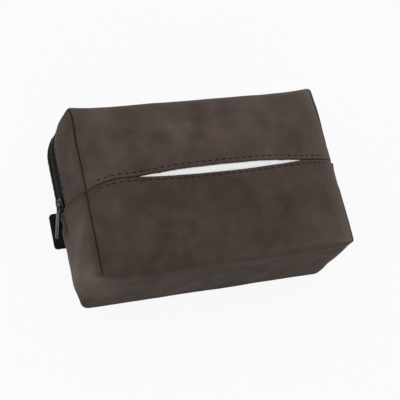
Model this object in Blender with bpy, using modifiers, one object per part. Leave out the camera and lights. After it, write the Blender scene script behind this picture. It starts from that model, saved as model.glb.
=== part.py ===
"""A zipped tissue pouch in brushed faux leather, sewn as a tube with boxed ends.

It lies on its plain back with the dispensing slit up. The zip runs along the +Y side and half way
down both ends, and its slider and puller stand at the foot of the left end. Metres, +Z up, origin in
the middle of the back's underside.

The whole skin is one soft form, pouch_point(), laid over a plain box. Each sewn piece keeps its own
faces of that box, takes the soft form and gets a wall, so neighbours follow each other wherever a
size changes.
"""

import math

import bmesh
import bpy
from mathutils import Matrix, Vector

# Box that the skin is laid over: the four edges along Y are the boxed seams, the other folds are soft.
LENGTH = 0.2025
WIDTH = 0.1365
DEPTH = 0.082
SEAM_FOLD = 0.0024
BACK_FOLD_Y = 0.0035
BACK_FOLD_Z = 0.0038
FRONT_FOLD_Y = 0.010
FRONT_FOLD_Z = 0.009
FRONT_FOLD_END_SHARE = 0.3
FRONT_FOLD_POWER = 6

# Slit face: it stands up over its edges like a filled pouch.
CROWN_HEIGHT = 0.01715
CROWN_END_POWER = 6
CROWN_SIDE_POWER = 2.2

# Ends: a slope from the slit face to a ridge at the zip's back edge, and a slope from there to the back.
END_FRONT_SLOPE = math.radians(16)
END_RIDGE = 0.0342
END_BACK_STEP = 0.0008
END_RIDGE_SOFTNESS = 0.0015
END_LOW_SOFTNESS = 0.010
END_SOFTENING = 0.030
END_SEAM_SHARE = 0.94
END_SHOULDER_SHARE = 0.98
END_SHOULDER = 0.046
END_CORNER_SHARE = 0.62
END_LIP_SHARE = 0.13
END_LIP_LENGTH = 0.014
END_LOW_SHARE = 0.06
END_FOOT_SHARE = 1.0
END_FOOT_POWER = 9
END_FOOT_RISE = 0.021
END_PILLOW = 0.003
END_PILLOW_MIDDLE = 0.066
SIDE_BULGE = 0.0007

# Leather and its seams.
LEATHER = 0.0012
CLEARANCE = 0.0003
SEAM_GROOVE = 0.0011

# Slit: a seam left open in its middle, its two turned edges gaping as a lens.
SLIT_LENGTH = 0.129
SLIT_GAPE = 0.0056
GAPE_UPPER_SHARE = 0.6
GAPE_REACH = 0.024
HEM_WIDTH = 0.007
HEM_DROOP = 0.0003
HEM_STEPS = 4

# Zip: the chain in the middle, a tape each side, and the leather's edges standing off the chain.
ZIP_BAND = 0.0136
ZIP_FOOT = 0.0025
TAPE_THICKNESS = 0.0006
TAPE_REACH = 0.0095
TAPE_FOOT = 0.009
CHAIN_WIDTH = 0.006
CHAIN_THICKNESS = 0.0024
CHAIN_SPINE = 0.0015
TOOTH_PITCH = 0.003
TOOTH_LENGTH = 0.0024
TOOTH_TIP_SHARE = 0.47
STOP_LENGTH = 0.0018
STOP_INNER = 0.0008
BOTTOM_STOP_LENGTH = 0.0036
RUN_LENGTH = 0.048

# Slider: a shield-shaped body round the chain, with a bridge for the puller.
SLIDER_LENGTH = 0.0105
SLIDER_TAIL_WIDTH = 0.0088
SLIDER_NOSE_WIDTH = 0.0106
SLIDER_NOSE_REACH = 0.0030
SLIDER_CORNER = 0.0016
SLIDER_PLATE = 0.0011
SLIDER_PLAY = 0.0003
SLIDER_BEVEL = 0.00025
WEDGE_WIDTH = 0.0024
WEDGE_LENGTH = 0.0042
BRIDGE_LENGTH = 0.0062
BRIDGE_WIDTH = 0.0020
BRIDGE_BAR = 0.0009
BRIDGE_OPENING = 0.0019
BRIDGE_ROUND = 0.0006
SINK = 0.0004

# Puller: a slim bar with an eye that hangs on the bridge.
PULLER_BAR_LENGTH = 0.0202
PULLER_BAR_WIDTH = 0.0050
PULLER_BAR_THICKNESS = 0.0022
PULLER_BAR_ROUND = 0.0007
EYE_WIDTH = 0.0054
EYE_ROD = 0.0011
EYE_WINDOW = 0.0050
EYE_ROUND = 0.0003
EYE_HANG = 0.0013
PULLER_TILT = math.radians(13.5)

# Webbing tab, folded double and caught in the back seam of the left end.
TAB_WIDTH = 0.030
TAB_REACH = 0.0142
TAB_CAUGHT = 0.0005
TAB_SHIFT = -0.0019
TAB_THICKNESS = 0.0024
TAB_CORNER = 0.0030
TAB_EDGE_ROUND = 0.0004
TAB_LIFT = 0.0027

# Bound seam allowances inside the four boxed seams.
BINDING_WIDTH = 0.0070
BINDING_THICKNESS = 0.0024
BINDING_END_ROOM = 0.01025
BINDING_LENGTH = WIDTH - 2 * BINDING_END_ROOM
BINDING_INSET = 0.0019
BINDING_ROUND = 0.0006

# Tissues: a pack of folded sheets, and the sheet that is drawn up to the slit.
STACK_END_ROOM = 0.01025
STACK_SIDE_ROOM = 0.01225
STACK_LENGTH = LENGTH - 2 * STACK_END_ROOM
STACK_WIDTH = WIDTH - 2 * STACK_SIDE_ROOM
STACK_HEIGHT = 0.066
STACK_CROWN = 0.008
STACK_ROUND = 0.004
SHEET_LENGTH = 0.150
SHEET_SPREAD = 0.070
SHEET_RIDGE = 0.0040
SHEET_SHOULDER = 0.010
SHEET_THICKNESS = 0.0008
SHEET_DEPTH = 0.0042
SHEET_WING_RISE = 0.0002

# How finely the skin is divided: shares of a side's flat half, and of a fold's radius.
X_SHARES = (0.0, 0.2, 0.4, 0.55, 0.77, 0.885)
Y_SHARES = (0.0, 0.36, 0.56, 0.9)
FOLD_SHARES = (0.0, 0.414, 1.0)
RIDGE_SHARES = (0.14, 0.27)
FRONT_SHARE = 0.76
ZIP_STEP = 0.0005
TINY = 1e-6

HALF = Vector((LENGTH / 2, WIDTH / 2, DEPTH / 2))
ZIP_HEIGHT = DEPTH / 2
HEM_END = HALF.x - SEAM_FOLD
HEM_RADIUS = LEATHER + CLEARANCE / 2
TAPE_SINK = LEATHER + CLEARANCE
CHAIN_SINK = TAPE_SINK + TAPE_THICKNESS / 2
CHANNEL_HALF = CHAIN_THICKNESS / 2 + SLIDER_PLAY
PLATE_TOP = CHANNEL_HALF + SLIDER_PLATE
HINGE_LIFT = PLATE_TOP + BRIDGE_OPENING / 2

# Colours, roughness and metallic value of each finish.
FINISHES = {
    "brown_leather": ((0.078, 0.058, 0.049), 0.62, 0.0),
    "black_webbing": ((0.010, 0.010, 0.010), 0.85, 0.0),
    "black_tape": ((0.020, 0.022, 0.019), 0.85, 0.0),
    "black_teeth": ((0.012, 0.012, 0.012), 0.45, 0.0),
    "gunmetal": ((0.16, 0.16, 0.155), 0.35, 1.0),
    "white_tissue": ((0.86, 0.86, 0.85), 0.95, 0.0),
    "black_binding": ((0.014, 0.014, 0.014), 0.9, 0.0),
}


def clear_scene():
    for thing in list(bpy.data.objects):
        bpy.data.objects.remove(thing, do_unlink=True)


def new_collection(name):
    group = bpy.data.collections.new(name)
    bpy.context.scene.collection.children.link(group)
    return group


def finish(name):
    """The Principled material of one finish, made once."""
    found = bpy.data.materials.get(name)
    if found:
        return found
    colour, roughness, metallic = FINISHES[name]
    made = bpy.data.materials.new(name)
    made.use_nodes = True
    shader = made.node_tree.nodes["Principled BSDF"]
    shader.inputs["Base Color"].default_value = (*colour, 1)
    shader.inputs["Roughness"].default_value = roughness
    shader.inputs["Metallic"].default_value = metallic
    return made


def add_object(name, bm, group, material):
    """Turns a bmesh into an object with its finish, shaded smooth but for its sharp edges."""
    mesh = bpy.data.meshes.new(name)
    bm.to_mesh(mesh)
    bm.free()
    mesh.shade_smooth()
    mesh.set_sharp_from_angle(angle=math.radians(40))
    mesh.materials.append(finish(material))
    thing = bpy.data.objects.new(name, mesh)
    group.objects.link(thing)
    return thing


def add_cutter(name, bm, group):
    cutter = add_object(name, bm, group, "gunmetal")
    cutter.hide_render = True
    cutter.display_type = "WIRE"
    return cutter


def add_wall(thing, thickness, sink=0.0):
    """Gives an open surface its wall, which starts at the sink beneath the surface and goes inwards."""
    wall = thing.modifiers.new("wall", "SOLIDIFY")
    wall.thickness = thickness
    wall.offset = -1 - 2 * sink / thickness
    wall.use_even_offset = True


def combine(thing, other, operation):
    step = thing.modifiers.new(f"{operation.lower()}_{other.name}", "BOOLEAN")
    step.operation = operation
    step.object = other
    step.solver = "EXACT"


def round_edges(bm, edges, rounding, segments=1):
    bmesh.ops.bevel(bm, geom=edges, offset=rounding, segments=segments, profile=0.5, affect="EDGES")


def block(length_x, length_y, length_z, centre=(0, 0, 0), rounding=0.0, segments=1):
    """A box with its edges rounded."""
    bm = bmesh.new()
    bmesh.ops.create_cube(bm, size=1)
    bmesh.ops.scale(bm, vec=(length_x, length_y, length_z), verts=bm.verts)
    if rounding:
        round_edges(bm, bm.edges[:], rounding, segments)
    bmesh.ops.translate(bm, vec=centre, verts=bm.verts)
    return bm


def cut_along(bm, axis, stations):
    """Cuts a mesh with planes across one axis."""
    normal = [0, 0, 0]
    normal[axis] = 1
    for station in stations:
        place = [station * share for share in normal]
        everything = [*bm.verts, *bm.edges, *bm.faces]
        bmesh.ops.bisect_plane(bm, geom=everything, plane_co=place, plane_no=normal)


# The soft form of the skin.


def soft_minimum(first, second, softness):
    """The lesser of two values, with a rounded change from one to the other."""
    blend = min(1, max(0, (1 + (second - first) / softness) / 2))
    return second * (1 - blend) + first * blend - softness * blend * (1 - blend)


def crown(x, y):
    """How far the slit face stands up over its edges."""
    along = 1 - min(1, abs(x) / HALF.x) ** CROWN_END_POWER
    across = 1 - min(1, abs(y) / HALF.y) ** CROWN_SIDE_POWER
    return CROWN_HEIGHT * along * across


def softening(y):
    """How far the end's crisp zip half has changed to its soft plain half."""
    return min(1, max(0, (-y - TAPE_FOOT) / END_SOFTENING))


def end_share(y, z):
    """The end's fullness: drawn in at the end seam, full at the shoulder, less at the foot."""
    if y >= 0:
        rise = END_SEAM_SHARE + (END_SHOULDER_SHARE - END_SEAM_SHARE) * min(1, y / END_SHOULDER)
        over = max(0, y - END_SHOULDER) / (HALF.y - END_SHOULDER)
        return rise - END_CORNER_SHARE * over**2
    lip = END_LIP_SHARE * max(0, 1 + y / END_LIP_LENGTH) * min(1, max(0, z / ZIP_HEIGHT - 1) * 4)
    foot = END_FOOT_SHARE * abs(y / HALF.y) ** END_FOOT_POWER * min(1, z / END_FOOT_RISE)
    return END_SEAM_SHARE + END_LOW_SHARE * softening(y) + lip - foot


def end_bulge(y, z):
    """How far an end stands out past its seams."""
    front = (DEPTH - z) * math.tan(END_FRONT_SLOPE)
    at_ridge = (DEPTH - END_RIDGE) * math.tan(END_FRONT_SLOPE)
    back = END_BACK_STEP + (at_ridge - END_BACK_STEP) * z / END_RIDGE
    softness = END_RIDGE_SOFTNESS + (END_LOW_SOFTNESS - END_RIDGE_SOFTNESS) * softening(y)
    from_middle = (z - END_PILLOW_MIDDLE) / (DEPTH - END_PILLOW_MIDDLE)
    pillow = END_PILLOW * max(0, 1 - from_middle**2)
    return (soft_minimum(front, back, softness) + pillow) * end_share(y, z)


def side_bulge(x, z):
    """How far a long side stands out between its folds."""
    along = 1 - min(1, abs(x) / HALF.x) ** 4
    return SIDE_BULGE * along * (1 - (2 * z / DEPTH - 1) ** 2)


def slit_reach(x, y):
    """How far the slit's turned edges, and the leather near them, stand off the slit's line."""
    lens = SLIT_GAPE * max(0, 1 - (2 * x / SLIT_LENGTH) ** 2)
    lip_share = GAPE_UPPER_SHARE if y > 0 else 1 - GAPE_UPPER_SHARE
    fade = max(0, 1 - abs(y) / GAPE_REACH)
    return (HEM_RADIUS + lens * lip_share) * fade


def folds_at(x, z):
    """Radii of the folds along each axis: tight at the back and the ends, soft at the slit face."""
    softness = 1 - (1 - FRONT_FOLD_END_SHARE) * min(1, abs(x) / HALF.x) ** FRONT_FOLD_POWER
    long_fold = BACK_FOLD_Y + (FRONT_FOLD_Y * softness - BACK_FOLD_Y) * z / DEPTH
    face_fold = FRONT_FOLD_Z * softness if z > HALF.z else BACK_FOLD_Z
    return Vector((SEAM_FOLD, long_fold, face_fold))


def pouch_point(x, y, z):
    """The skin's outer face over a point of the box. Just off y = 0 is one edge of the slit."""
    from_middle = Vector((x, y, z - HALF.z))
    folds = folds_at(x, z)
    inner = HALF - folds
    core = Vector([max(-inner[i], min(inner[i], from_middle[i])) for i in range(3)])
    lean = Vector([(from_middle[i] - core[i]) / folds[i] for i in range(3)])
    lean.normalize()
    point = core + Vector([lean[i] * folds[i] for i in range(3)])
    height = point.z + HALF.z
    on_end = abs(x) > HALF.x - TINY
    on_boxed_seam = on_end and min(z, DEPTH - z) < TINY
    on_upper_edge = on_end and 0 < y < CLEARANCE and z > ZIP_HEIGHT + TAPE_REACH + TINY
    if on_boxed_seam:
        point -= lean * SEAM_GROOVE * max(0, 1 - 2 * lean.y**2)
    elif on_upper_edge:
        point.x -= math.copysign(SEAM_GROOVE, x)
    point.x += lean.x * end_bulge(y, height)
    point.y += lean.y * side_bulge(point.x, height)
    if lean.z > 0:
        point.z += lean.z * crown(point.x, point.y)
        if not on_end and y:
            point.y += math.copysign(slit_reach(point.x, y) * lean.z, y)
    point.z += HALF.z
    return point


def half_stations(half, fold, shares):
    flat = half - fold
    return [flat * share for share in shares] + [flat + fold * share for share in FOLD_SHARES]


def both_ways(stations):
    return sorted({-s for s in stations} | set(stations))


X_STATIONS = both_ways([*half_stations(HALF.x, SEAM_FOLD, X_SHARES), SLIT_LENGTH / 2])
Y_STATIONS = both_ways([*half_stations(HALF.y, FRONT_FOLD_Y, Y_SHARES), ZIP_FOOT, TAPE_FOOT, END_SHOULDER])


def z_stations(*half_bands):
    """Heights that divide the sides: the folds, the ridge, and a pair at each half width round the zip."""
    back = [BACK_FOLD_Z * (1 - share) for share in FOLD_SHARES]
    front = [DEPTH - FRONT_FOLD_Z * (1 - share) for share in FOLD_SHARES]
    found = [*back, *front, DEPTH * FRONT_SHARE, *(DEPTH * share for share in RIDGE_SHARES)]
    for band in half_bands:
        found += [ZIP_HEIGHT - band, ZIP_HEIGHT + band]
    return sorted(found)


def on_front(place):
    return place.z > DEPTH - TINY


def on_zip_side(place, foot):
    """Whether a point of the box is on the long side of the zip, or on an end above the zip's foot."""
    on_end = abs(place.x) > HALF.x - TINY
    return place.y > HALF.y - TINY or (on_end and place.y > -foot)


def in_band(place, half_band, foot):
    return on_zip_side(place, foot) and abs(place.z - ZIP_HEIGHT) < half_band


def in_upper_panel(place):
    upper = (on_front(place) and place.y > 0) or (on_zip_side(place, 0) and place.z > ZIP_HEIGHT)
    return upper and not in_band(place, ZIP_BAND / 2, ZIP_FOOT)


def in_main_panel(place):
    upper = (on_front(place) and place.y > 0) or (on_zip_side(place, 0) and place.z > ZIP_HEIGHT)
    return not upper and not in_band(place, ZIP_BAND / 2, ZIP_FOOT)


def in_front_tape(place):
    chain_band = in_band(place, CHAIN_WIDTH / 2 + CLEARANCE, TAPE_FOOT)
    return in_band(place, TAPE_REACH, TAPE_FOOT) and not chain_band and place.z > ZIP_HEIGHT


def in_back_tape(place):
    chain_band = in_band(place, CHAIN_WIDTH / 2 + CLEARANCE, TAPE_FOOT)
    return in_band(place, TAPE_REACH, TAPE_FOOT) and not chain_band and place.z < ZIP_HEIGHT


def sewn_surface(keep, heights, edge_side):
    """The faces of the box that keep() accepts, in the soft form, as an open surface.

    edge_side is the side of y = 0 that the piece lies on where it ends there, so that neighbours keep a gap.
    """
    bm = bmesh.new()
    bmesh.ops.create_cube(bm, size=1)
    bmesh.ops.scale(bm, vec=(LENGTH, WIDTH, DEPTH), verts=bm.verts)
    bmesh.ops.translate(bm, vec=(0, 0, HALF.z), verts=bm.verts)
    for axis, stations in enumerate((X_STATIONS, Y_STATIONS, heights)):
        cut_along(bm, axis, stations[1:-1])
    doomed = [face for face in bm.faces if not keep(face.calc_center_median())]
    bmesh.ops.delete(bm, geom=doomed, context="FACES")
    slit_line = bm.verts.layers.float.new("slit_line")
    for vert in bm.verts:
        x, y, z = vert.co
        at_edge = vert.is_boundary and abs(y) < TINY
        if at_edge:
            y = edge_side * CLEARANCE / 2
        at_slit = at_edge and on_front(vert.co) and abs(x) < HEM_END + TINY
        vert[slit_line] = float(at_slit)
        vert.co = pouch_point(x, y, z)
    bm.normal_update()
    return bm


def turn_hem(bm, edge_side):
    """Rolls the slit's edge under and lays its hem back beneath the panel."""
    slit_line = bm.verts.layers.float["slit_line"]
    edges = [e for e in bm.edges if e.is_boundary and all(v[slit_line] for v in e.verts)]
    lips = sorted({v for e in edges for v in e.verts}, key=lambda v: v.co.x)
    starts = [v.co.copy() for v in lips]
    ups = [v.normal.copy() for v in lips]
    away = Vector((0, edge_side, 0))
    for step in range(1, HEM_STEPS + 2):
        turn = math.pi * min(step, HEM_STEPS) / HEM_STEPS
        grown = bmesh.ops.extrude_edge_only(bm, edges=edges)["geom"]
        row = sorted([g for g in grown if isinstance(g, bmesh.types.BMVert)], key=lambda v: v.co.x)
        edges = [g for g in grown if isinstance(g, bmesh.types.BMEdge) and all(v in row for v in g.verts)]
        for vert, start, up in zip(row, starts, ups, strict=True):
            level = (away - up * away.dot(up)).normalized()
            vert.co = start - up * HEM_RADIUS * (1 - math.cos(turn)) - level * HEM_RADIUS * math.sin(turn)
            if step > HEM_STEPS:
                vert.co += level * HEM_WIDTH - up * HEM_DROOP
    return bm


def make_panels(group):
    heights = z_stations(ZIP_BAND / 2, TAPE_REACH)
    upper = turn_hem(sewn_surface(in_upper_panel, heights, 1), 1)
    main = turn_hem(sewn_surface(in_main_panel, heights, -1), -1)
    panels = [
        add_object("upper_panel", upper, group, "brown_leather"),
        add_object("main_panel", main, group, "brown_leather"),
    ]
    for panel in panels:
        add_wall(panel, LEATHER)
    return panels


# The zip.


def zip_path():
    """Points along the zip, from the left end's foot to the right end's, with their distances."""
    corners = [(-HALF.x, -ZIP_FOOT), (-HALF.x, HALF.y), (HALF.x, HALF.y), (HALF.x, -ZIP_FOOT)]
    path = []
    distance = 0.0
    last = None
    for (x0, y0), (x1, y1) in zip(corners, corners[1:]):
        steps = round(math.hypot(x1 - x0, y1 - y0) / ZIP_STEP)
        for step in range(steps + 1):
            share = step / steps
            place = (x0 + (x1 - x0) * share, y0 + (y1 - y0) * share)
            point = pouch_point(*place, ZIP_HEIGHT)
            if last is not None:
                distance += (point - last).length
            last = point
            path.append((distance, point, place))
    return path


ZIP_PATH = zip_path()
ZIP_LENGTH = ZIP_PATH[-1][0]


def zip_frame(distance):
    """Place on the skin, with its directions along the zip, across it to the slit, and outwards."""
    after = next((i for i, step in enumerate(ZIP_PATH) if step[0] > distance), len(ZIP_PATH) - 1)
    after = max(1, after)
    low, high = ZIP_PATH[after - 1], ZIP_PATH[after]
    share = (distance - low[0]) / (high[0] - low[0]) if high[0] > low[0] else 0
    point = low[1].lerp(high[1], share)
    box = Vector(low[2]).lerp(Vector(high[2]), share)
    behind = ZIP_PATH[max(0, after - 3)][1]
    ahead = ZIP_PATH[min(len(ZIP_PATH) - 1, after + 2)][1]
    along = (ahead - behind).normalized()
    upper = pouch_point(box.x, box.y, ZIP_HEIGHT + ZIP_STEP)
    above = upper - pouch_point(box.x, box.y, ZIP_HEIGHT - ZIP_STEP)
    outwards = above.cross(along).normalized()
    across = along.cross(outwards)
    return point, along, across, outwards


def on_zip(distance, across_by, lift):
    """A point beside the zip's middle, lifted from the chain's middle plane."""
    point, _, across, outwards = zip_frame(distance)
    return point + across * across_by + outwards * (lift - CHAIN_SINK)


def lay_on_zip(bm):
    """Lays a mesh made straight along X, with Y across and Z outwards, along the zip."""
    for vert in bm.verts:
        vert.co = on_zip(*vert.co)
    bm.normal_update()
    bmesh.ops.recalc_face_normals(bm, faces=bm.faces)
    return bm


def chain_strip(start, end, side, phase, toothed_from=0.0):
    """One side of the chain: a spine with a tooth in every other segment past toothed_from."""
    segment = TOOTH_PITCH / 2
    count = round((end - start) / segment)
    spine_middle = side * (CHAIN_WIDTH - CHAIN_SPINE) / 2
    bm = block(count * segment, CHAIN_SPINE, CHAIN_THICKNESS, (start + count * segment / 2, spine_middle, 0))
    long_edges = [e for e in bm.edges if abs(e.verts[0].co.x - e.verts[1].co.x) > segment]
    bmesh.ops.subdivide_edges(bm, edges=long_edges, cuts=count - 1, use_grid_fill=True)
    bm.normal_update()
    roots = [f for f in bm.faces if f.normal.y * side < -0.5]
    middles = {f: f.calc_center_median().x for f in roots if f.calc_center_median().x > toothed_from}
    chosen = [f for f, middle in middles.items() if int((middle - start) / segment) % 2 == phase]
    for tip in bmesh.ops.extrude_discrete_faces(bm, faces=chosen)["faces"]:
        middle = tip.calc_center_median()
        for vert in tip.verts:
            vert.co.x = middle.x + (vert.co.x - middle.x) * TOOTH_TIP_SHARE
            vert.co.y -= side * TOOTH_LENGTH
    return lay_on_zip(bm)


def make_zip(group):
    heights = z_stations(CHAIN_WIDTH / 2 + CLEARANCE, ZIP_BAND / 2, TAPE_REACH)
    for name, keep in (("zip_tape_front", in_front_tape), ("zip_tape_back", in_back_tape)):
        tape = add_object(name, sewn_surface(keep, heights, 1), group, "black_tape")
        add_wall(tape, TAPE_THICKNESS, TAPE_SINK)
    chain_start = CLEARANCE + STOP_LENGTH + CLEARANCE
    chain_end = ZIP_LENGTH - BOTTOM_STOP_LENGTH - 2 * CLEARANCE
    segment = TOOTH_PITCH / 2
    run_end = chain_start + segment * round(RUN_LENGTH / segment)
    toothed_from = chain_start + SLIDER_BEVEL + WEDGE_LENGTH + TOOTH_PITCH
    for name, side, phase in (("front", 1, 0), ("back", -1, 1)):
        run = chain_strip(chain_start, run_end, side, phase, toothed_from)
        add_object(f"zip_run_teeth_{name}", run, group, "black_teeth")
        rest = chain_strip(run_end + CLEARANCE, chain_end, side, phase)
        add_object(f"zip_teeth_{name}", rest, group, "black_teeth")
        stop_width = CHAIN_WIDTH / 2 - STOP_INNER
        place = (CLEARANCE + STOP_LENGTH / 2, side * (STOP_INNER + stop_width / 2), 0)
        stop = block(STOP_LENGTH, stop_width, CHAIN_THICKNESS, place, SLIDER_BEVEL)
        add_object(f"zip_top_stop_{name}", lay_on_zip(stop), group, "gunmetal")
    place = (ZIP_LENGTH - CLEARANCE - BOTTOM_STOP_LENGTH / 2, 0, 0)
    stop = block(BOTTOM_STOP_LENGTH, CHAIN_WIDTH, CHAIN_THICKNESS, place, SLIDER_BEVEL)
    add_object("zip_bottom_stop", lay_on_zip(stop), group, "gunmetal")


# The slider and its puller.


def slider_frame():
    """Matrix of the slider at rest: X across towards the slit face, Y along the zip, Z outwards."""
    distance = CLEARANCE + STOP_LENGTH + CLEARANCE + CLEARANCE + SLIDER_LENGTH / 2
    point, along, across, outwards = zip_frame(distance)
    middle = point - outwards * CHAIN_SINK
    turn = Matrix((-across, along, outwards)).transposed().to_4x4()
    return Matrix.Translation(middle) @ turn


def outline_prism(outline, height):
    """A prism over a flat outline."""
    bm = bmesh.new()
    face = bm.faces.new([bm.verts.new((x, y, -height / 2)) for x, y in outline])
    top = bmesh.ops.extrude_face_region(bm, geom=[face])["geom"]
    bmesh.ops.translate(bm, vec=(0, 0, height), verts=[g for g in top if isinstance(g, bmesh.types.BMVert)])
    bm.normal_update()
    bmesh.ops.recalc_face_normals(bm, faces=bm.faces)
    return bm


def shield_outline():
    """The slider from above: a narrow tail, a wide nose with cut corners."""
    tail, nose = SLIDER_TAIL_WIDTH / 2, SLIDER_NOSE_WIDTH / 2
    half = SLIDER_LENGTH / 2
    right = [
        (tail - SLIDER_CORNER, half),
        (tail, half - SLIDER_CORNER),
        (tail, 0),
        (nose, SLIDER_NOSE_REACH - half),
        (nose - SLIDER_CORNER, -half),
    ]
    left = [(-x, y) for x, y in reversed(right)]
    return right + left


def make_slider(group, cutters, frame):
    body = outline_prism(shield_outline(), 2 * PLATE_TOP)
    round_edges(body, body.edges[:], SLIDER_BEVEL)
    slider = add_object("zip_slider", body, group, "gunmetal")
    long_cut = SLIDER_LENGTH * 2
    channel = block(CHAIN_WIDTH + 2 * SLIDER_PLAY, long_cut, 2 * CHANNEL_HALF)
    slot = block(long_cut, long_cut, TAPE_THICKNESS + 2 * SLIDER_PLAY)
    for name, bm in (("chain_channel", channel), ("tape_slot", slot)):
        combine(slider, add_cutter(name, bm, cutters), "DIFFERENCE")
    half, tip = WEDGE_WIDTH / 2, WEDGE_LENGTH / 2
    wedge = outline_prism([(0, tip), (-half, 0), (0, -tip), (half, 0)], 2 * (CHANNEL_HALF + SINK))
    wedge_shift = SLIDER_BEVEL + tip - SLIDER_LENGTH / 2
    bmesh.ops.translate(wedge, vec=(0, wedge_shift, 0), verts=wedge.verts)
    combine(slider, add_cutter("wedge", wedge, cutters), "UNION")
    arch_height = BRIDGE_OPENING + BRIDGE_BAR + SINK
    arch_middle = (0, 0, PLATE_TOP - SINK + arch_height / 2)
    arch = block(BRIDGE_WIDTH, BRIDGE_LENGTH, arch_height, arch_middle)
    top_edges = [e for e in arch.edges if all(v.co.z > arch_middle[2] for v in e.verts)]
    round_edges(arch, top_edges, BRIDGE_ROUND, 2)
    bridge = add_cutter("bridge", arch, cutters)
    opening = block(long_cut, BRIDGE_LENGTH - 2 * BRIDGE_BAR, BRIDGE_OPENING, (0, 0, HINGE_LIFT))
    combine(slider, bridge, "UNION")
    combine(slider, add_cutter("bridge_opening", opening, cutters), "DIFFERENCE")
    for thing in (slider, *(m.object for m in slider.modifiers)):
        thing.matrix_world = frame
    return slider


def make_puller(group, cutters, frame):
    """The puller, made hanging along -Y from its hinge, which runs along X through its origin."""
    eye_length = EYE_WINDOW + 2 * EYE_ROD
    ring_middle = (0, EYE_ROD / 2 - eye_length / 2, 0)
    ring = block(EYE_WIDTH, eye_length, EYE_ROD, ring_middle, EYE_ROUND)
    puller = add_object("zip_puller", ring, group, "gunmetal")
    window_middle = (0, -(EYE_ROD + EYE_WINDOW) / 2, 0)
    window = block(EYE_WIDTH - 2 * EYE_ROD, EYE_WINDOW, PULLER_BAR_LENGTH, window_middle)
    bar_start = EYE_ROD / 2 + EYE_WINDOW
    bar_middle = (0, -bar_start - PULLER_BAR_LENGTH / 2, 0)
    bar = block(PULLER_BAR_WIDTH, PULLER_BAR_LENGTH, PULLER_BAR_THICKNESS, bar_middle, PULLER_BAR_ROUND, 2)
    combine(puller, add_cutter("eye_window", window, cutters), "DIFFERENCE")
    combine(puller, add_cutter("bar", bar, cutters), "UNION")
    hinge = Matrix.Translation((0, -EYE_HANG, HINGE_LIFT)) @ Matrix.Rotation(-PULLER_TILT, 4, "X")
    for thing in (puller, *(m.object for m in puller.modifiers)):
        thing.matrix_world = frame @ hinge
    return puller


# Tab, bindings and tissues.


def make_tab(group, cutters, panel):
    """The tab, and the slot in the seam that it is caught in."""
    length = TAB_REACH + TAB_CAUGHT
    middle = (-HALF.x - TAB_REACH + length / 2, TAB_SHIFT, TAB_LIFT)
    tab = block(length, TAB_WIDTH, TAB_THICKNESS, middle)
    outer = [e for e in tab.edges if all(v.co.x < middle[0] for v in e.verts)]
    corners = [e for e in outer if abs(e.verts[0].co.z - e.verts[1].co.z) > TINY]
    round_edges(tab, corners, TAB_CORNER, 3)
    flat_edges = [e for e in tab.edges if abs(e.verts[0].co.z - e.verts[1].co.z) < TINY]
    round_edges(tab, flat_edges, TAB_EDGE_ROUND)
    add_object("side_tab", tab, group, "black_webbing")
    slot_size = (length, TAB_WIDTH + 2 * CLEARANCE, TAB_THICKNESS + 2 * CLEARANCE)
    slot = add_cutter("tab_slot", block(*slot_size, middle), cutters)
    combine(panel, slot, "DIFFERENCE")


def make_bindings(group):
    """A bound seam allowance inside each boxed seam, pointing to the middle of the pouch."""
    shift = (BINDING_INSET + BINDING_WIDTH / 2) * math.cos(math.pi / 4)
    for end, x_side in (("left", -1), ("right", 1)):
        for face, z_side in (("front", 1), ("back", -1)):
            bm = block(BINDING_WIDTH, BINDING_LENGTH, BINDING_THICKNESS, (0, 0, 0), BINDING_ROUND)
            lean = Matrix.Rotation(-x_side * z_side * math.pi / 4, 3, "Y")
            bmesh.ops.rotate(bm, verts=bm.verts, matrix=lean)
            seam = pouch_point(x_side * HALF.x, BINDING_LENGTH / 2, HALF.z + z_side * HALF.z)
            middle = (seam.x - x_side * shift, 0, seam.z - z_side * shift)
            bmesh.ops.translate(bm, vec=middle, verts=bm.verts)
            add_object(f"{end}_{face}_binding", bm, group, "black_binding")


def stack_top(x, y):
    """Height of the tissue pack's top."""
    along = 1 - (2 * x / STACK_LENGTH) ** 2
    across = 1 - (2 * y / STACK_WIDTH) ** 2
    return LEATHER + CLEARANCE + STACK_HEIGHT + STACK_CROWN * max(0, along) * max(0, across)


def make_tissues(group):
    base = LEATHER + CLEARANCE
    stack = block(STACK_LENGTH, STACK_WIDTH, STACK_HEIGHT, (0, 0, base + STACK_HEIGHT / 2), STACK_ROUND, 2)
    for axis, length in ((0, STACK_LENGTH), (1, STACK_WIDTH)):
        cut_along(stack, axis, [length * share for share in both_ways([0, 0.17, 0.33])])
    for vert in stack.verts:
        if vert.co.z > base + STACK_HEIGHT - TINY:
            vert.co.z = stack_top(vert.co.x, vert.co.y)
    add_object("tissue_stack", stack, group, "white_tissue")
    bm = bmesh.new()
    bmesh.ops.create_grid(bm, x_segments=1, y_segments=1, size=0.5)
    bmesh.ops.scale(bm, vec=(SHEET_LENGTH, SHEET_SPREAD, 1), verts=bm.verts)
    cut_along(bm, 0, [SHEET_LENGTH * share for share in both_ways([0, 0.15, 0.3, 0.42])])
    cut_along(bm, 1, both_ways([0, SHEET_RIDGE / 2, SHEET_SHOULDER, SHEET_SPREAD / 3]))
    for vert in bm.verts:
        x, y = vert.co.x, vert.co.y
        lie = stack_top(x, y) + CLEARANCE + SHEET_THICKNESS + SHEET_WING_RISE
        drawn = DEPTH + crown(x, 0) - SHEET_DEPTH
        rise = max(0, 1 - abs(y) / (SHEET_SPREAD / 2)) ** 2 * (1 - (2 * x / SHEET_LENGTH) ** 4)
        vert.co.z = lie + (drawn - lie) * (1 if abs(y) < SHEET_RIDGE else rise)
    sheet = add_object("top_tissue", bm, group, "white_tissue")
    add_wall(sheet, SHEET_THICKNESS)


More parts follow.
